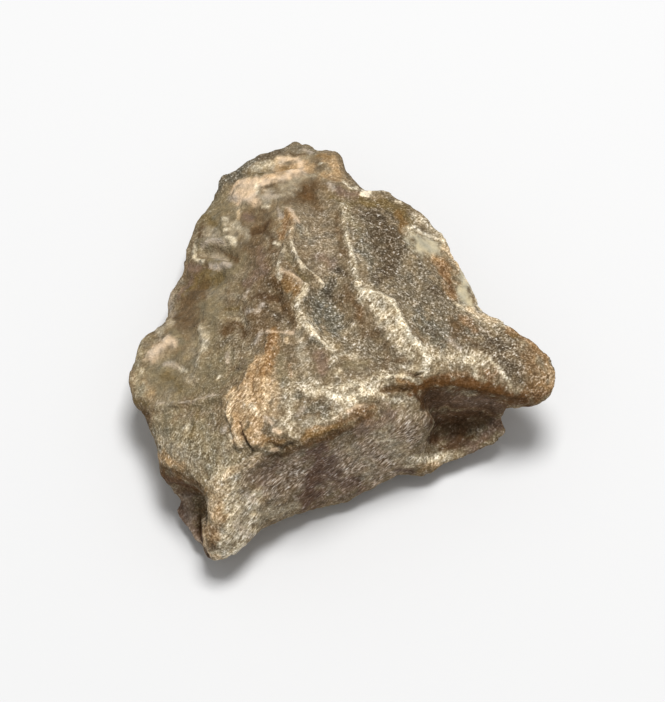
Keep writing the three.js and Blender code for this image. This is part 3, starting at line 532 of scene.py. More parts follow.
    (Hue.ASH, (-3.2, 5.6, -3.4, 5.1), 0.2, 0.7),
    (Hue.PALE, (-3.45, 4.9, -3.5, 4.5, -3.4, 4.1), 0.2),
    (Hue.MOSS, (-2.9, 5.2, -2.5, 4.6, -1.8, 4.05), 0.3),
    (Hue.OLIVE, (-2.5, 4.6, -2, 4.15), 0.14),
    (Hue.UMBER, (-2.7, 4.9, -2.5, 4.7), 0.13, 0.7),
    (Hue.PINK, (-3.2, 4.35, -2.8, 4.15, -2.3, 3.9, -1.9, 3.6), 0.28, 0.6, 1),
    (Hue.OCHRE, (-3, 3.7, -2.6, 3.45, -2.5, 3.1), 0.46, 0.95),
    # The ridge's crest painted white: a painted highlight.
    (Hue.WHITE_AND_GLINT, (-2.75, 5.85, -2.5, 5.3, -2.2, 4.75, -1.6, 4.25, -1.2, 3.9, -1, 3.6), 0.11, 0.8, 0.8),
    (Hue.CREAM, (-1.95, 3.7, -2.3, 3.1, -2.5, 2.5, -2.25, 1.9, -2.2, 1.4), 0.34, 0.95),
    (Hue.PALE, (-2.1, 3.3, -2.4, 2.6), 0.15, 0.6),
    (Hue.CREAM, (-1.8, 1.9, -1.5, 1.3), 0.4),
    (Hue.PALE, (-2, 1.5, -1.5, 0.8, -1.1, 0.4, -0.6, 0), 0.3, 1),
    (Hue.CREAM, (-1, 0.7, -0.3, 0.1, -0.3, -0.5), 0.36, 0.85),
    (Hue.SLATE, (-1.6, 0.6, -1.15, 0.1), 0.2),
    # The vein.
    (Hue.SAGE, (0.2, 8.3, 0.25, 7.6, 0.6, 7.2, 1, 7.1), 0.42, 0.8, 1.1),
    (Hue.CREAM, (0.1, 8.3, 0.2, 7.5, 0.3, 7, 0.3, 6.3), 0.16),
    (Hue.PALE, (0.3, 6.5, 0.4, 6, 0.6, 5.4, 0.75, 4.9, 0.75, 4.3), 0.14, 0.95),
    (Hue.CREAM, (0.65, 4.9, 0.75, 4.2, 1.1, 3.6), 0.4, 0.9),
    (Hue.CREAM, (1.3, 3.2, 2.1, 2.4, 2.6, 1.7, 3.2, 0.9, 3.9, 0.1), 0.8, 0.95),
    (Hue.PALE, (0.9, 3.6, 1.5, 3.15, 2.2, 3, 2.7, 2.7, 3.1, 2.1, 3.4, 1.4, 3.8, 0.7, 4.4, 0, 4.8, -0.5),
                0.28, 0.95),
    (Hue.PALE, (1.8, 2.5, 2.3, 2, 2.1, 1.5), 0.3, 0.5),
    (Hue.PALE, (4.6, -0.3, 4.7, -1.2), 0.3),
    # Last touches: hidden walls and rims at the edges of the face, with painted shade in the socket,
    # then a few deepened patches.
    (Hue.HOLLOW_SHADE, (-9.6, -7.2, -8.9, -7.5, -8.4, -8), 0.45, 0.75, 1, True),
    (Hue.LOW_WALL, (-8.9, -8.7, -8.6, -9.5, -8.2, -10.3), 0.5, 0.45, 1, True),
    (Hue.SLATE, (-6.9, 9.3, -6, 10.1, -5, 10.8), 0.4, 0.75, 1, True),
    (Hue.LILAC, (-9.7, 4, -9.8, 3, -9.6, 2.1), 0.4, 0.6, 1, True),
    (Hue.SAGE, (-11.5, -0.9, -11.4, -1.8, -11, -2.5), 0.45, 0.75, 1, True),
    (Hue.UMBER, (-11.1, -3.3, -10.8, -4), 0.28, 0.85, 1, True),
    (Hue.CREAM, (1.9, 2.8, 2.8, 2), 0.6, 0.8, 1.1),
    (Hue.AMBER, (-3, 3.9, -2.6, 3.4), 0.45, 0.8, 1.1),
    (Hue.SAND, (-7.2, -8, -7.1, -8.8), 0.35, 0.5, 1.1),
    (Hue.UMBER, (-3.8, -4.8, -3.3, -4.9), 0.3, 0.5, 1.1),
    (Hue.OCHRE, (-2.9, 3.7, -2.6, 3.4), 0.4, 0.55, 1.1),
    (Hue.BURNT, (5.7, 4.5, 6, 3.9), 0.35, 0.4, 1.1),
    (Hue.BURNT, (9.9, -2.6, 11, -2.7), 0.35, 0.45, 1.1, True),
    (Hue.GREY, (-8.9, -1.5, -8.1, -1.6), 0.7, 0.35, 1.1),
    (Hue.SAGE, (-6.3, -8.4, -6.3, -9.4), 0.5, 0.4, 1.1),
    (Hue.TAN, (-5.6, -2.3, -5.4, -3.6), 0.8, 0.7, 1.1),
))


# ---- Relief

@dataclass(frozen=True)
class Mark:
    """A ridge, groove or pit of the broad face.

    Attributes:
        line: The line it follows. A pit is one point.
        height: How far it stands proud, or below the surface if it is less than 0.
        width: From that line to its edge, or from a plate's outline to its full height.
    """

    line: Line
    height: float
    width: float

    def shift(self, marked: Rows) -> Rows:
        """How far it moves each point outwards."""
        return self.height * eased(nearness(marked, self.line, self.width))


class Plate(Mark):
    """A flake or a shallow dish of the broad face, whose line is its outline."""

    def shift(self, marked: Rows) -> Rows:
        """How far it moves each point outwards."""
        return self.height * eased(depth_inside(marked, self.line) / self.width)


MARKS: tuple[Mark, ...] = (
    # The pale ridge.
    Mark((-3.4, 8, -2.9, 7.8, -2.7, 7.2, -2.8, 6.5, -2.9, 5.9), 0.32, 0.42),
    Mark((-2.8, 5.8, -2.4, 5, -1.9, 4.4, -1.3, 4, -0.95, 3.6), 0.32, 0.2),
    Mark((-3.1, 5.9, -3.4, 4.9, -3.4, 4.3, -2.7, 4.1, -1.9, 3.6), 0.2, 0.3),
    Mark((-1.9, 3.5, -2.3, 2.6, -2.3, 1.8, -1.9, 1.1, -1.3, 0.4, -0.5, -0.6), 0.24, 0.5),
    Mark((-2.8, 5.2, -2.4, 4.4, -1.8, 4), -0.2, 0.24),
    Mark((-3.9, 3.4, -3.4, 2.6, -3.2, 1.6), -0.25, 0.6),
    # The vein ridge and the trough beside it.
    Mark((0.1, 8.2, 0.25, 7, 0.4, 6, 0.65, 5.2, 0.75, 4.2), 0.18, 0.3),
    Mark((0.9, 3.7, 1.5, 3.1, 2.2, 2.9, 2.9, 2.4, 3.3, 1.6, 3.8, 0.8, 4.4, 0.1, 4.9, -0.6), 0.26, 0.5),
    Plate((-1.9, 3.6, -1, 3.9, 0, 3.6, 0.5, 2.4, 0.7, 1.2, -0.2, 0.5, -1.3, 0.9, -2, 1.7, -2.1, 2.7), -0.34,
           0.8),
    Plate((1.2, 1.5, 2.4, 1, 3.4, 0.1, 3.8, -0.9, 2.6, -1.1, 1.4, -0.4), -0.22, 0.7),
    Plate((1.2, 7.4, 3.6, 7, 4.9, 4.6, 5.8, 2.9, 4.8, 1.2, 3.4, 2.9, 1.7, 4.3, 0.9, 5.6), -0.3, 1.3),
    # The tan flake, its cracks and the plate edge above the cream band.
    Plate((-4.15, 1.1, -3.35, 1.1, -3.35, 0.2, -3.7, -0.4, -3.95, -1.4, -4, -2.6, -3.85, -3.6, -3.7, -4.1,
           -4.2, -4.9, -4.4, -5.4, -4.8, -5.6, -5.15, -5.2, -5.5, -5.6, -5.95, -5.25, -6.15, -4.3,
           -6.45, -3.6, -6.35, -2.9, -6.25, -2.3, -5.7, -2.1, -5.4, -1.3, -5, -0.75, -4.5, -0.6, -4.3, 0.3),
           0.28, 0.24),
    Mark((-5.5, -4.1, -5.3, -4.7, -5.15, -5.1, -4.8, -5.5), -0.22, 0.13),
    Mark((-5.95, -5.25, -5.6, -5.6, -5.3, -5.5), -0.08, 0.13),
    Mark((-4.6, -0.6, -4.9, -1.8, -4.7, -3), -0.12, 0.2),
    Mark((2, -1.6, 3.3, -1.5, 4.2, -1.6, 4.6, -1.8), 0.18, 0.15),
    Mark((2.3, -2.1, 3.2, -2.1, 3.9, -2.3), -0.2, 0.32),
    Mark((4.2, -1.35, 4.5, -1.35), -0.35, 0.25),
    # The brow.
    Mark((-3.9, -5.1, -3.2, -5.5, -2.7, -5.2), -0.2, 0.28),
    Mark((-3.5, -5.9), -0.25, 0.35),
    Mark((-1.5, -3.1, -0.9, -3.1), -0.22, 0.6),
    Mark((-2.4, -2.5), -0.25, 0.28),
    Mark((-2.3, -1.5), -0.2, 0.28),
    Mark((-0.3, -3.6), -0.18, 0.25),
    Mark((-2.4, -2, -0.6, -2.2, 1.2, -2), 0.15, 0.5),
    # The crown.
    Plate((-6.4, 8.6, -6.1, 9.8, -5, 10.3, -3.6, 10.2, -2.2, 10.5, -1.9, 10, -3, 9.4, -4.1, 9, -4.4, 8.3,
           -5.4, 8.1), 0.26, 0.3),
    Mark((-5.2, 7.8, -4, 8, -3.1, 8.6, -2.3, 9.2), -0.16, 0.3),
    Mark((-2.1, 9, -1.6, 8.4), -0.2, 1.1),
    Mark((-6.7, 9.6, -5.5, 10.5, -4.2, 11.1, -2.6, 11.7), 0.15, 0.5),
    Mark((-0.9, 10.6), 0.2, 0.3),
    # The left face and rim.
    Mark((-8.4, 6.2, -7.2, 6.2, -6.1, 6.3), 0.22, 0.26),
    Plate((-8.1, 5.9, -7, 6, -6.1, 5.9, -5.8, 5.3, -6.4, 4.9, -7.2, 5.2, -8, 5.1), -0.3, 0.3),
    Mark((-8.3, 5.1, -7.3, 5, -6.3, 4.8), 0.2, 0.3),
    Mark((-8.8, 4, -7.6, 3.8, -6.8, 4.2), -0.25, 0.6),
    Mark((-6.6, 7.5), 0.2, 0.3),
    Mark((-6.5, 6.8), 0.2, 0.3),
    Mark((-5.4, 6.8), 0.14, 0.3),
    Plate((-5.6, 7.9, -4.2, 8.1, -3.7, 7.4, -4.2, 6.3, -5.3, 6.3), -0.2, 0.8),
    Plate((-6.9, 2.6, -5.4, 3.2, -4.8, 1.6, -5.2, 0.2, -6.6, 0.6), -0.25, 0.8),
    Mark((-7.8, 1.2, -7.6, 0.4, -8, -1.6), 0.18, 0.5),
    Mark((-10.8, -3.2, -8.8, -2.95, -6.5, -2.5), 0.14, 0.24),
    Mark((-10.9, -3.6, -8.8, -3.4, -6.8, -3), -0.1, 0.4),
    Mark((-10.7, -0.2, -9.6, 0.6), 0.2, 0.5),
    Mark((-10.4, -1.6, -9, -1), -0.15, 0.6),
    # The nose and its pit.
    Mark((-7.25, -11), -0.28, 0.2),
    Mark((-7.95, -9.4, -8.05, -10.2, -7.9, -11, -7.5, -11.7), -0.25, 0.25),
)


@dataclass(frozen=True)
class Wave:
    """One scale of the roughness that is found all over the stone.

    Attributes:
        length: The size of its bumps.
        height: How far they stand out.
        chipped: Whether the bumps are small tilted facets, and not rounded lumps.
    """

    length: float
    height: float
    chipped: bool = False

    def at(self, point: Vector) -> float:
        """How far this wave moves the surface.

        Args:
            point: A place in the row frame.

        Returns:
            The way outwards there, less than 0 for inwards.
        """
        place = point / self.length
        if not self.chipped:
            return self.height * noise.fractal(place, 1.0, 2.0, 2)
        nearest = noise.voronoi(place)[1][0]
        tilt = noise.cell_vector(nearest * 7.0) - Vector((0.5, 0.5, 0.5))  # Far apart, so no two are alike.
        return 2.0 * self.height * (place - nearest).dot(tilt)


def distance_to(marked: Rows, corners: Rows) -> Rows:
    """How far points lie from a line drawn through corners.

    Args:
        marked: One row of right and up for each point.
        corners: One row of right and up for each corner.

    Returns:
        The distance of each point to the nearest place on the line.
    """
    least = np.full(len(marked), np.inf)
    for start, end in zip(corners[:-1], corners[1:]):
        run = end - start
        share = np.clip((marked - start) @ run / max(run @ run, 1e-9), 0.0, 1.0)
        least = np.minimum(least, np.linalg.norm(marked - start - share[:, None] * run, axis=1))
    return least


def nearness(marked: Rows, line: Line, width: float) -> Rows:
    """How near points lie to a line drawn on the broad face.

    Args:
        marked: One row of right and up for each point.
        line: The line, or one point.
        width: The distance at which nearness is 0.

    Returns:
        1 on the line, falling to 0 at the width and staying there.
    """
    corners = np.array(line if len(line) > 2 else line * 2, dtype=float).reshape(-1, 2)
    return np.clip(1.0 - distance_to(marked, corners) / width, 0.0, 1.0)


def depth_inside(marked: Rows, outline: Line) -> Rows:
    """How deep points lie inside an outline drawn on the broad face.

    Args:
        marked: One row of right and up for each point.
        outline: The outline's corners in order.

    Returns:
        The distance to the outline, or 0 outside it.
    """
    corners = np.array(outline + outline[:2], dtype=float).reshape(-1, 2)
    inside = np.zeros(len(marked), dtype=bool)
    for (x0, y0), (x1, y1) in zip(corners[:-1], corners[1:]):
        spans = (y0 > marked[:, 1]) != (y1 > marked[:, 1])
        if y0 != y1:
            inside ^= spans & (marked[:, 0] < x0 + (marked[:, 1] - y0) * (x1 - x0) / (y1 - y0))
    return np.where(inside, distance_to(marked, corners), 0.0)


def eased(value: Rows) -> Rows:
    """A value kept between 0 and 1, with soft ends."""
    share = np.clip(value, 0.0, 1.0)
    return share * share * (3.0 - 2.0 * share)


def cloudy(points: Rows, length: float, octaves: int) -> Rows:
    """A soft random value at each point.

    Args:
        points: One row for each point, in the row frame.
        length: The size of the largest clouds.
        octaves: How many ever finer layers there are.

    Returns:
        Values about 0, nearly all of them between -1 and 1.
    """
    return np.array([1.8 * noise.fractal(Vector(p) / length, 1.0, 2.0, octaves) for p in points])


def wandered(points: Rows, marked: Rows, reach: float, wave: float) -> Rows:
    """Moves places on the broad face a little, so that lines drawn there run unevenly.

    Args:
        points: The points in the row frame.
        marked: Their places on the broad face, in right, up and perhaps out.
        reach: How far a place is moved at most.
        wave: The size of the unevenness.

    Returns:
        One row of right and up for each point.
    """
    drift = np.array([noise.noise_vector(Vector(p) / wave)[:2] for p in points])
    return marked[:, :2] + reach * drift


# ---- The stone

@dataclass(frozen=True)
class Weather:
    """The chance part of the stone's colours, below its stains, at their edges and over them, and the
    painted shade of its hollows.

    Attributes:
        cloud: The size of the clouds of ground colour.
        apart: How far off the noise of cream clouds is read, and that of warmth.
        cover: How much brown and sage clouds hide.
        crust: How much cream clouds hide, and the rust of far edges.
        calm: How much weaker clouds are on the broad face.
        cream: How wide cream clouds are, and how rare.
        rim: How far out an edge starts to rust, and how fast.
        hollow: How much painted shade darkens a hollow, how fast, and from what depth.
        wanders: How far strokes wander, and over what length.
        tears: The size, layers and share of the tears at their edges.
        torn: How strong those tears are.
        warmth: How far red, green and blue vary.
        warm_cloud: The size of warm places, and their share of the noise.
        worn: The line where the face is worn smooth, and how far it is from there.
        smoothed: How much of the grain is gone there.
    """

    cloud: float = 1.7
    apart: Pair = (40.0, 90.0)
    cover: float = 0.8
    crust: float = 0.7
    calm: float = 0.6
    cream: Pair = (1.6, 0.5)
    rim: Pair = (0.12, 5.0)
    hollow: Triple = (0.5, 2.0, 0.4)
    wanders: tuple[Pair, ...] = ((0.12, 0.9), (0.08, 0.3))
    tears: tuple[tuple[float, int, float], ...] = ((0.75, 3, 1.0), (0.25, 2, 0.6))
    torn: float = 2.8
    warmth: Triple = (0.26, 0.20, 0.10)
    warm_cloud: Pair = (0.5, 0.5)
    worn: tuple[Line, float] = ((-10, -1.5, -8, 3, -6, 7, -2, 10.5), 3.6)
    smoothed: float = 0.55

    def look(self, points: Rows, marked: Rows, seen: Rows, edges: Rows) -> Rows:
        """The look of each point.

        Args:
            points: One row for each point, in the row frame.
            marked: The same points in the broad face's measures.
            seen: How far each belongs to the broad face, from 0 to 1.
            edges: How far each stands out from the plain form.

        Returns:
            One row of red, green, blue, grain, fibre and gloss for each point.
        """
        look = np.tile(Hue.MATRIX.value.values, (len(points), 1))

        def lay(hue: Hue, share: Rows) -> None:
            """Covers a share of the look so far with a colour."""
            look[:] += share[:, None] * (hue.value.values - look)

        clouds, drifts = (cloudy(points + away, self.cloud, 3) for away in (0.0, self.apart[0]))
        tears = sum(share * cloudy(points, size, layers) for size, layers, share in self.tears)
        wild = 1.0 - self.calm * seen
        wide, rare = self.cream
        start, haste = self.rim
        lay(Hue.BROWN, self.cover * wild * eased(clouds))
        lay(Hue.SAGE, self.cover * wild * eased(-clouds))
        lay(Hue.CREAM, self.crust * wild * eased(wide * drifts - rare))
        lay(Hue.RUST, self.crust * (1.0 - seen) * eased((edges - start) * haste))

        for reach, wave in self.wanders:
            marked = wandered(points, marked, reach, wave)
        for stain in STAINS:
            near = nearness(marked, stain.line, stain.width)
            near += stain.ragged * tears * self.torn * near * (1.0 - near)
            lay(stain.hue, stain.strength * (1.0 if stain.through else seen) * eased(near / stain.fade))

        # Painted shade: the deep brown darkens hollows, the more the deeper they are.
        most, haste, start = self.hollow
        lay(Hue.DEEP_SHADE, most * eased(-edges * haste - start))
        size, share = self.warm_cloud
        warm = share * cloudy(points + self.apart[1], size, 3)
        look[:, :3] *= 1.0 + warm[:, None] * np.array(self.warmth)
        look[:, 3] *= 1.0 - self.smoothed * seen * eased(nearness(marked, *self.worn))
        return look


@dataclass(frozen=True)
class Stone:
    """The stone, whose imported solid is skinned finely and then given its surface.

    Attributes:
        node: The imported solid's name.
        weld: How close its corners are to be the same corner.
        voxel: The size of the skin's faces.
        rounding: How often the skin is smoothed before it is roughened.
        plain: How often a copy is smoothed, to tell edges from hollows.
        waves: The roughness found all over.
        wander: How far marks wander, and over what length.
        foot: The height over which the surface settles to the flat foot.
        clearance: How far off the surface the lines start that find the broad face.
        turning: How fast the broad face ends where the surface turns away.
        spread: How often its share is blurred.
        firmness: How much that share is then strengthened, to reach its borders.
        weather: The chance part of its colours.
    """

    node: str = "stone"
    weld: float = 0.001
    voxel: float = 0.12
    rounding: int = 4
    plain: int = 90
    waves: tuple[Wave, ...] = (
        Wave(2.6, 0.10), Wave(1.5, 0.08, chipped=True), Wave(0.9, 0.06),
        Wave(0.55, 0.025, chipped=True), Wave(0.42, 0.025), Wave(0.25, 0.014),
    )
    wander: Pair = (0.12, 0.6)
    foot: float = 0.7
    clearance: float = 0.15
    turning: float = 5.0
    spread: int = 4
    firmness: float = 1.6
    weather: Weather = Weather()

    def build(self) -> Object:
        """Makes the stone's mesh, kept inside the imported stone's box.

        Returns:
            The piece, without a material.
        """
        mesh = self._skinned()
        points = read(mesh.vertices, "co")
        edges = self._edges(mesh, points)
        normals = read(mesh.vertex_normals, "vector")
        marked = FACE.measured(points)
        seen = self._seen(mesh, points, normals)
        shift = np.array([sum(wave.at(Vector(p)) for wave in self.waves) for p in points])
        wander = wandered(points, marked, *self.wander)
        shift += sum(mark.shift(wander) for mark in MARKS) * seen
        shift *= eased(points[:, 2] / self.foot)
        points += normals * shift[:, None]
        low, high = (np.array(corner) / MM for corner in CAD_BOX)
        np.clip(points, low, high, out=points)
        mesh.vertices.foreach_set("co", points.ravel())
        self._paint(mesh, self.weather.look(points, marked, seen, edges))
        mesh.transform(Matrix.Scale(MM, 4))
        mesh.update()
        mesh.polygons.foreach_set("use_smooth", [True] * len(mesh.polygons))
        return added("stone_skin", mesh)

    def _skinned(self) -> Mesh:
        """Lays an even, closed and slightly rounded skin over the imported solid.

        Returns:
            The skin, in millimetres.
        """
        work = bmesh.new()
        work.from_mesh(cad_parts[self.node].data)
        bmesh.ops.remove_doubles(work, verts=work.verts, dist=self.weld * MM)
        bmesh.ops.scale(work, vec=(1 / MM,) * 3, verts=work.verts)
        coarse = bpy.data.meshes.new("stone_coarse")
        work.to_mesh(coarse)
        work.free()
        holder = added("stone_holder", coarse)
        remesh = holder.modifiers.new("skin", "REMESH")
        remesh.mode = "VOXEL"
        remesh.voxel_size = self.voxel
        evaluated = holder.evaluated_get(bpy.context.evaluated_depsgraph_get())
        skin = bpy.data.meshes.new_from_object(evaluated)
        bpy.data.objects.remove(holder)
        self._smooth(skin, self.rounding)
        return skin

    @staticmethod
    def _smooth(mesh: Mesh, times: int) -> None:
        """Smooths a mesh.

        Args:
            mesh: The mesh, which is changed.
            times: How often.
        """
        work = bmesh.new()
        work.from_mesh(mesh)
        for _ in range(times):
            bmesh.ops.smooth_vert(work, verts=work.verts, factor=0.5, use_axis_x=True, use_axis_y=True,
                                  use_axis_z=True)
        work.to_mesh(mesh)
        work.free()
        mesh.update()

    def _edges(self, mesh: Mesh, points: Rows) -> Rows:
        """Tells edges from hollows.

        Args:
            mesh: The stone's mesh.
            points: Its points.

        Returns:
            How far each point stands out from the plain form, less than 0 in hollows.
        """
        plain = mesh.copy()
        self._smooth(plain, self.plain)
        away = points - read(plain.vertices, "co")
        away = np.einsum("ij,ij->i", away, read(plain.vertex_normals, "vector"))
        bpy.data.meshes.remove(plain)
        return away

    def _seen(self, mesh: Mesh, points: Rows, normals: Rows) -> Rows:
        """How far each point belongs to the broad face, from 0 to 1.

        Args:
            mesh: The stone's mesh.
            points: Its points in the row frame.
            normals: The way out of the surface at each of them.

        Returns:
            1 where a line dropped square onto the face reaches the point, and 0 where it can't.
        """
        work = bmesh.new()
        work.from_mesh(mesh)
        tree = BVHTree.FromBMesh(work)
        work.free()
        out = FACE.outwards
        starts = points + normals * self.clearance
        free = np.array([tree.ray_cast(Vector(start), out)[0] is None for start in starts])
        return self._spread(mesh, free * np.clip(normals @ np.array(out) * self.turning + 0.5, 0.0, 1.0))

    def _spread(self, mesh: Mesh, values: Rows) -> Rows:
        """Blurs values along the mesh's edges, so that they have no hard border.

        Args:
            mesh: The stone's mesh.
            values: One for each of its points, from 0 to 1.

        Returns:
            The blurred values, strengthened.
        """
        one, other = read(mesh.edges, "vertices", 2, int).T
        ends, starts = np.concatenate([one, other]), np.concatenate([other, one])
        count = np.bincount(ends, minlength=len(values))
        for _ in range(self.spread):
            values = 0.5 * (values + np.bincount(ends, values[starts], len(values)) / count)
        return np.clip(values * self.firmness, 0.0, 1.0)

    @staticmethod
    def _paint(mesh: Mesh, look: Rows) -> None:
        """Writes the look of each point as attributes of the mesh.

        Args:
            mesh: The stone's mesh, which is changed.
            look: One row of red, green, blue, grain, fibre and gloss for each point.
        """
        colour = mesh.color_attributes.new("stain", "FLOAT_COLOR", "POINT")
        colour.data.foreach_set("color", np.column_stack([look[:, :3], np.ones(len(look))]).ravel())
        for column, name in enumerate(("grain", "fibre", "gloss"), start=3):
            mesh.attributes.new(name, "FLOAT", "POINT").data.foreach_set("value", look[:, column].copy())


def read(items: Any, name: str, width: int = 3, kind: type = float) -> Rows:
    """Reads what the items of a mesh hold under a name.

    Args:
        items: The mesh's points, edges or normals.
        name: What is read of each.
        width: How many numbers that is.
        kind: The type of those numbers.

    Returns:
        One row for each item.
    """
    values = np.empty(len(items) * width, dtype=kind)
    items.foreach_get(name, values)
    return values.reshape(-1, width)


def added(name: str, data: ID) -> Object:
    """Adds an object to the scene.

    Args:
        name: Its name.
        data: Its mesh, lamp or camera.

    Returns:
        The object, at the origin.
    """
    made = bpy.data.objects.new(name, data)
    bpy.context.scene.collection.objects.link(made)
    return made


def aimed(name: str, data: ID, place: Vector, way: Vector) -> Object:
    """Adds a lamp or a camera to the scene.

    Args:
        name: Its name.
        data: The lamp or the camera.
        place: Where it is, in metres.
        way: The way it looks.

    Returns:
        The object, turned that way.
    """
    made = added(name, data)
    made.location = place
    made.rotation_mode = "QUATERNION"
    made.rotation_quaternion = way.to_track_quat("-Z", "Y")
    return made


# ---- Shader expressions

class Sock:
    """A shader socket whose arithmetic adds Math nodes."""

    def __init__(self, tree: Tree, socket: NodeSocket | None) -> None:
        """Wraps a socket of a tree."""
        self.tree = tree
        self.socket = socket

    def _math(self, operation: str, *inputs: Any) -> Sock:
        """Adds one Math node."""
        return self.tree.node("Math", {"operation": operation}, dict(enumerate(inputs)))

    def __add__(self, other: Any) -> Sock:
        """self + other."""
        return self._math("ADD", self, other)

    def __radd__(self, other: Any) -> Sock:
        """other + self."""
        return self._math("ADD", other, self)

    def __sub__(self, other: Any) -> Sock:
        """self - other."""
        return self._math("SUBTRACT", self, other)

    def __rsub__(self, other: Any) -> Sock:
        """other - self."""
        return self._math("SUBTRACT", other, self)

    def __mul__(self, other: Any) -> Sock:
        """self * other."""
        return self._math("MULTIPLY", self, other)

    def __rmul__(self, other: Any) -> Sock:
        """other * self."""
        return self._math("MULTIPLY", other, self)


class Tree:
    """A material's nodes."""

    def __init__(self, name: str) -> None:
        """Makes an empty material.

        Args:
            name: Its name.
        """
        self.material = bpy.data.materials.new(name)
        self.material.use_nodes = True
        self.nodes = self.material.node_tree.nodes
        self.links = self.material.node_tree.links
        self.nodes.clear()

    def node(self, kind: str, settings: Mapping[str, Any], inputs: Mapping[str | int, Any],
             out: str | int = 0) -> Sock:
        """Adds a node.

        Args:
            kind: Its type, without the words that all shader nodes start with.
            settings: What is set on the node itself, before its sockets.
            inputs: The value or link of each socket, by name or number.
            out: The output that is handed back.

        Returns:
            That output, if the node has any.
        """
        made = self.nodes.new("ShaderNode" + kind)
        for name, value in settings.items():
            setattr(made, name, value)
        for key, value in inputs.items():
            if isinstance(value, Sock):
                self.links.new(value.socket, made.inputs[key])
            else:
                made.inputs[key].default_value = value
        return Sock(self, made.outputs[out] if made.outputs else None)

    def held(self, name: str, out: str) -> Sock:
        """What the mesh holds at each point under a name."""
        return self.node("Attribute", {"attribute_name": name}, {}, out)

    def mixed(self, share: Sock, first: Any, second: Any) -> Sock:
        """A colour between two others."""
        return self.node("Mix", {"data_type": "RGBA"}, {0: share, 6: first, 7: second}, 2)

    def scaled(self, colour: Sock, by: Triple) -> Sock:
        """A colour with each part scaled by its own number."""
        return self.node("VectorMath", {"operation": "MULTIPLY"}, {0: colour, 1: by})

    def times(self, vector: Sock, by: Sock | float) -> Sock:
        """A place or a colour with all parts scaled alike."""
        return self.node("VectorMath", {"operation": "SCALE"}, {0: vector, "Scale": by})

    def risen(self, value: Sock, low: float, high: float) -> Sock:
        """0 below low, 1 above high, and soft between them."""
        return self.node("MapRange", {"interpolation_type": "SMOOTHSTEP"},
                         {"Value": value, "From Min": low, "From Max": high})

    def grains(self, place: Sock, per_mm: float, detail: float) -> Sock:
        """A soft noise with a number of grains to the millimetre."""
        return self.node("TexNoise", {},
                         {"Vector": place, "Scale": per_mm, "Detail": detail, "Roughness": 0.6})

    def finished(self, surface: Mapping[str, Any]) -> Material:
        """The material, once its surface has these inputs."""
        self.node("OutputMaterial", {}, {"Surface": self.node("BsdfPrincipled", {}, surface)})
        return self.material


@dataclass(frozen=True)
class StoneFinish:
    """The rock: crushed pale feldspar grains in a brown matrix, with sparkles painted as highlights.

    Attributes:
        run: Degrees that fibres run up from the right, in the broad face's plane.
        stretch: How much longer than wide they are.
        lumps: How many large and small lumps there are to the millimetre.
        rounds: How many large and small round grains.
        fibres: How many fibres.
        gap: The values of the grains between which dark gaps end.
        fleck: The values between which pale flecks begin.
        glint: The values between which glint sparkles begin: painted highlights, which are also smoother.
        body: What the ground between grains keeps of the stain's colour.
        low: What dark gaps keep of it.
        high: How much brighter pale grains are.
        cream: The colour that pale grains go towards.
        white: The colour of the glint sparkles, a painted highlight.
        relief: The height of the finest bumps, in metres.
        dullness: How rough the rock is, and how much less a glint and glass are.
    """

    run: float = 52.0
    stretch: float = 3.0
    lumps: Pair = (1.5, 3.4)
    rounds: Pair = (5.0, 10.0)
    fibres: float = 8.0
    gap: Pair = (0.36, 0.51)
    fleck: Pair = (0.50, 0.66)
    glint: Pair = (0.64, 0.72)
    body: Triple = (0.90, 0.88, 0.84)
    low: Triple = (0.38, 0.32, 0.25)
    high: Triple = (2.25, 2.28, 2.46)
    cream: Shade = (0.71, 0.64, 0.55, 1.0)
    white: Shade = (0.84, 0.80, 0.72, 1.0)
    relief: float = 0.12 * MM
    dullness: Triple = (0.66, 0.3, 0.38)

    def material(self) -> Material:
        """Makes the material.

        Returns:
            The material, which reads the mesh's stain, grain, fibre and gloss.
        """
        tree = Tree("feldspar_breccia")
        place = tree.times(tree.node("TexCoord", {}, {}, "Object"), 1 / MM)
        turn = FACE.turn @ Matrix.Rotation(math.radians(self.run), 3, "Z")
        along = tree.node("Mapping", {"vector_type": "TEXTURE"},
                          {"Vector": place, "Rotation": turn.to_euler(), "Scale": (self.stretch, 1.0, 1.0)})
        stain = tree.held("stain", "Color")
        grain, fibre, gloss = (tree.held(name, "Fac") for name in ("grain", "fibre", "gloss"))

        large, small = self.lumps
        lumps = tree.grains(place, large, 3.0) * 0.8 + tree.grains(place, small, 1.0) * (0.75 - grain * 0.6)
        large, small = self.rounds
        rounds = tree.grains(place, large, 1.0) * 0.62 + tree.grains(place, small, 0.0) * 0.38
        thick = rounds + fibre * (tree.grains(along, self.fibres, 1.2) - rounds)
        strong = grain * grain * 1.35
        soft = tree.risen(grain, 0.1, 0.45) * 0.2
        gaps = (1.0 - tree.risen(thick, *self.gap)) * (strong * 0.75 + soft + 0.1)
        flecks = tree.risen(thick, *self.fleck) * (strong * 0.8 + soft)
        # Glint sparkles: painted highlights in the base colour, which are also less rough.
        painted_glints = tree.risen(thick, *self.glint) * strong

        pale = tree.mixed(grain * 0.4, tree.scaled(stain, self.high), self.cream)
        grained = tree.mixed(gaps, tree.scaled(stain, self.body), tree.scaled(stain, self.low))
        clouded = tree.times(tree.mixed(flecks, grained, pale), lumps + 0.31 + grain * 0.3)
        height = (lumps * 0.5 + thick * 0.9) * (1.0 - gloss)
        rough, glinting, glassy = self.dullness
        return tree.finished({
            "Base Color": tree.mixed(painted_glints, clouded, self.white),
            "Roughness": rough - painted_glints * glinting - gloss * glassy,
            "Coat Weight": gloss * 0.35,
            "Coat Roughness": 0.25,
            "Specular IOR Level": 0.06,
            "Normal": tree.node("Bump", {}, {"Strength": 1.0, "Distance": self.relief, "Height": height}),
        })


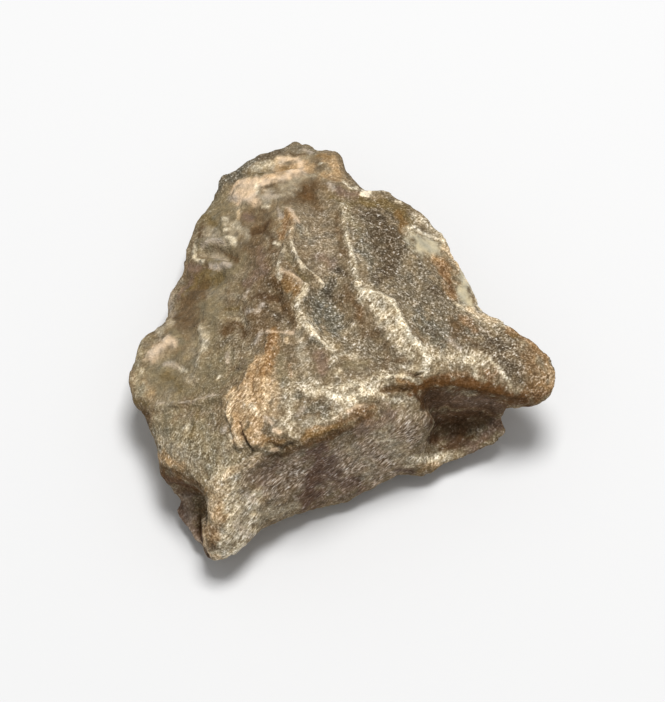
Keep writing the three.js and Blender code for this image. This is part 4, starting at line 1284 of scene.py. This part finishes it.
@dataclass(frozen=True)
class TableFinish:
    """A plain matt white table."""

    white: Shade = (0.72, 0.72, 0.72, 1.0)

    def material(self) -> Material:
        """Makes the material."""
        return Tree("table_white").finished(
            {"Base Color": self.white, "Roughness": 0.9, "Specular IOR Level": 0.0})


# ---- The studio

@dataclass(frozen=True)
class Studio:
    """The pale table, the light and the camera.

    Attributes:
        table_side: The table's side, in metres.
        lens: The camera's focal length.
        sensor: The camera's long side.
        tall: What it takes in from bottom to top at the stone.
        aim: Where it aims, in the broad face's measures.
        reach: The nearest and the farthest that it sees, in metres.
        lamp: Where the soft square lamp hangs, in metres. It faces the stone.
        lamp_side: The lamp's side, in metres.
        power: Its power, in watts.
        sky: How bright the even light from all round is.
    """

    table_side: float = 1.6
    lens: float = 300.0
    sensor: float = 36.0
    tall: float = 39.55
    aim: Triple = (-0.479, 0.0, 4.5)
    reach: Pair = (0.01, 10.0)
    lamp: Triple = (0.03, 0.08, 0.42)
    lamp_side: float = 0.14
    power: float = 1.8
    sky: float = 0.38

    def build(self) -> None:
        """Makes the table, the light, the camera and the colour handling."""
        self._lay_table()
        self._hang_lamp()
        self._light_sky()
        self._set_camera()
        bpy.context.scene.view_settings.view_transform = "Standard"

    def _lay_table(self) -> None:
        """Makes the table top that the stone rests on."""
        work = bmesh.new()
        bmesh.ops.create_grid(work, x_segments=1, y_segments=1, size=self.table_side / 2)
        mesh = bpy.data.meshes.new("table")
        work.to_mesh(mesh)
        work.free()
        mesh.materials.append(TableFinish().material())
        added("table", mesh)

    def _hang_lamp(self) -> None:
        """Hangs the soft lamp above the stone."""
        data = bpy.data.lights.new("key", "AREA")
        data.size, data.energy = self.lamp_side, self.power
        aimed("key", data, Vector(self.lamp), -Vector(self.lamp))

    def _light_sky(self) -> None:
        """Sets the even light from all round."""
        world = bpy.data.worlds.new("studio")
        world.use_nodes = True
        background = world.node_tree.nodes["Background"]
        background.inputs["Color"].default_value = (1.0, 1.0, 1.0, 1.0)
        background.inputs["Strength"].default_value = self.sky
        bpy.context.scene.world = world

    def _set_camera(self) -> None:
        """Aims the camera square at the broad face's plane."""
        data = bpy.data.cameras.new("camera")
        data.lens, data.sensor_width = self.lens, self.sensor
        data.clip_start, data.clip_end = self.reach
        right, up, out = self.aim
        place = FACE.place(right, up, out + self.tall * self.lens / self.sensor) * MM
        bpy.context.scene.camera = aimed("camera", data, place, -FACE.outwards)


# ---- Making it all


def main() -> None:
    """Builds the studio and the stone, and attaches the stone to the root body."""
    logging.basicConfig(level=logging.INFO, format="%(name)s: %(message)s")
    noise.seed_set(SEED)
    Studio().build()
    stone = Stone()
    piece = stone.build()
    piece.data.materials.append(StoneFinish().material())
    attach(piece, "root")
    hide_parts(stone.node)
    LOG.info("%s: %d points, %d faces", piece.name, len(piece.data.vertices), len(piece.data.polygons))


if __name__ == "__main__":
    main()
